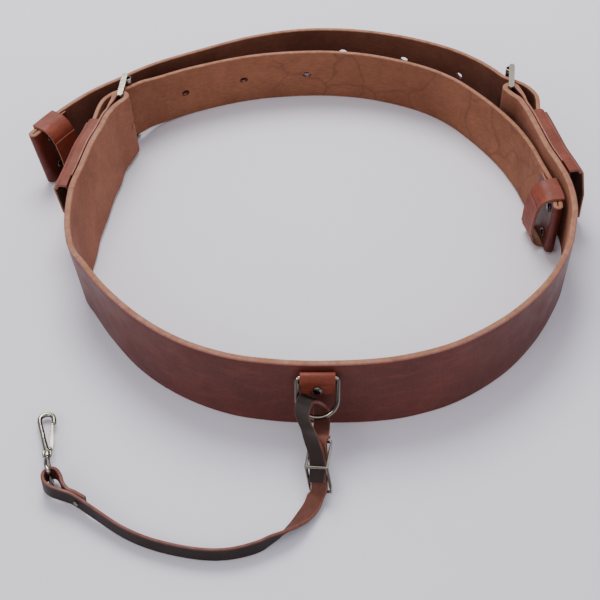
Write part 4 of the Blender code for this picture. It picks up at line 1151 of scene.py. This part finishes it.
def area_light(name, place, size, power, color):
    light = bpy.data.lights.new(name, "AREA")
    light.shape = "DISK"
    light.size = size
    light.energy = power
    light.color = color
    made = bpy.data.objects.new(name, light)
    bpy.context.scene.collection.objects.link(made)
    aim(made, Vector(place), Vector((0, 0.2, 0)))


def stage():
    bpy.ops.mesh.primitive_grid_add(x_subdivisions=4, y_subdivisions=4, size=8)
    floor = bpy.context.object
    floor.name = "floor"
    floor.location.z = FLOOR_HEIGHT
    floor.data.materials.append(floor_material())
    area_light("back_top", (-0.3, 1.7, 2.1), 1.5, 62, (1.0, 0.99, 0.98))
    area_light("front_left", (-1.5, -1.3, 1.5), 1.0, 9, (1.0, 0.99, 0.98))
    world = bpy.data.worlds.new("studio")
    bpy.context.scene.world = world
    world.use_nodes = True
    sky = world.node_tree.nodes["Background"]
    sky.inputs["Color"].default_value = (0.91, 0.905, 0.965, 1)
    sky.inputs["Strength"].default_value = 0.88


def camera():
    lens = bpy.data.cameras.new("photo_camera")
    lens.lens = CAMERA_LENS
    lens.sensor_width = CAMERA_SENSOR
    lens.clip_start = 0.01
    made = bpy.data.objects.new("photo_camera", lens)
    bpy.context.scene.collection.objects.link(made)
    aim(made, CAMERA_PLACE, CAMERA_TARGET)
    bpy.context.scene.camera = made


# ---------------------------------------------------------------- scene


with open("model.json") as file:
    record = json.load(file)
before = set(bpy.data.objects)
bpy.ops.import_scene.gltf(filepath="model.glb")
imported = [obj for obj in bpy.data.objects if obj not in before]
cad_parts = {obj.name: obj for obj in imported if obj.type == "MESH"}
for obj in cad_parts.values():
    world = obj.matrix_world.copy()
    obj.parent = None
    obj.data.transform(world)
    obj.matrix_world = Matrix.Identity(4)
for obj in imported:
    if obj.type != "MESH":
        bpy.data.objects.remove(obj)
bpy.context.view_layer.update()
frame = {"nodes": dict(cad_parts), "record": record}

bright = nickel("bright_nickel", (200, 192, 176), 0.16)
dull = nickel("dull_nickel", (176, 170, 160), 0.24)
keeper_grain = grain_leather("keeper_grain", (96, 40, 24), (128, 58, 38), 0.52)
keeper_flesh = flesh_leather("keeper_flesh", (92, 68, 56), (124, 94, 78))
tan_edge = edge_leather("tan_cut_edge", (118, 70, 45), (158, 102, 68))
red_bevel = edge_leather("red_bevelled_edge", (118, 66, 58), (150, 92, 78))
# Near-black copy of the tan cut edge: painted shade for the inside of the punched holes.
hole_wall_painted_shade = edge_leather("punched_hole_painted_shade", (30, 18, 14), (52, 32, 26))
cinch_finishes = [
    grain_leather("cinch_grain", (78, 35, 28), (96, 46, 38), 0.46),
    flesh_leather("cinch_flesh", (120, 73, 56), (150, 98, 76)), tan_edge, red_bevel,
]
billet_finishes = [
    grain_leather("billet_grain", (72, 28, 20), (98, 42, 30), 0.42),
    flesh_leather("billet_flesh", (114, 69, 50), (144, 94, 69), veins=0.34), tan_edge, red_bevel,
]
# The outer billet's flesh side is a darker copy of the billet flesh: painted shade for the narrow gap
# between the straps. It has no veins.
outer_billet_finishes = [
    billet_finishes[GRAIN], flesh_leather("outer_billet_flesh_painted_shade", (84, 46, 34), (118, 72, 54)),
    tan_edge, red_bevel,
]
keeper_finishes = [
    keeper_grain, keeper_flesh, edge_leather("keeper_edge", (104, 60, 42), (150, 96, 70)), keeper_grain,
]
connector_finishes = [
    grain_leather("connector_grain", (26, 15, 12), (42, 26, 21), 0.55),
    flesh_leather("connector_flesh", (84, 48, 40), (110, 68, 55)),
    edge_leather("connector_edge", (88, 42, 32), (124, 66, 50)),
    edge_leather("connector_bevel", (60, 30, 24), (90, 46, 36)),
]

cinch_rows = cinch_strap(cinch_finishes)
cinch_keepers(cinch_rows, keeper_finishes)
billet("left", BILLET_LEFT_BODY, LEFT_BUCKLE, billet_finishes, keeper_finishes, hole_wall_painted_shade)
billet("right", BILLET_RIGHT_BODY, RIGHT_BUCKLE, outer_billet_finishes, keeper_finishes, hole_wall_painted_shade)
chape(keeper_finishes)
connector(connector_finishes)
dee_ring(bright)
snap_eye(bright)
snap_hook(bright)

slot_of = {entry["node"]: entry["material_slot"] for entry in frame["record"]["subparts"]}
for name, node in frame["nodes"].items():
    slot = slot_of[name]
    if slot in ("nickel", "screw_nickel"):
        node.data.materials.clear()
        node.data.materials.append(bright if slot == "nickel" else dull)

stage()
camera()
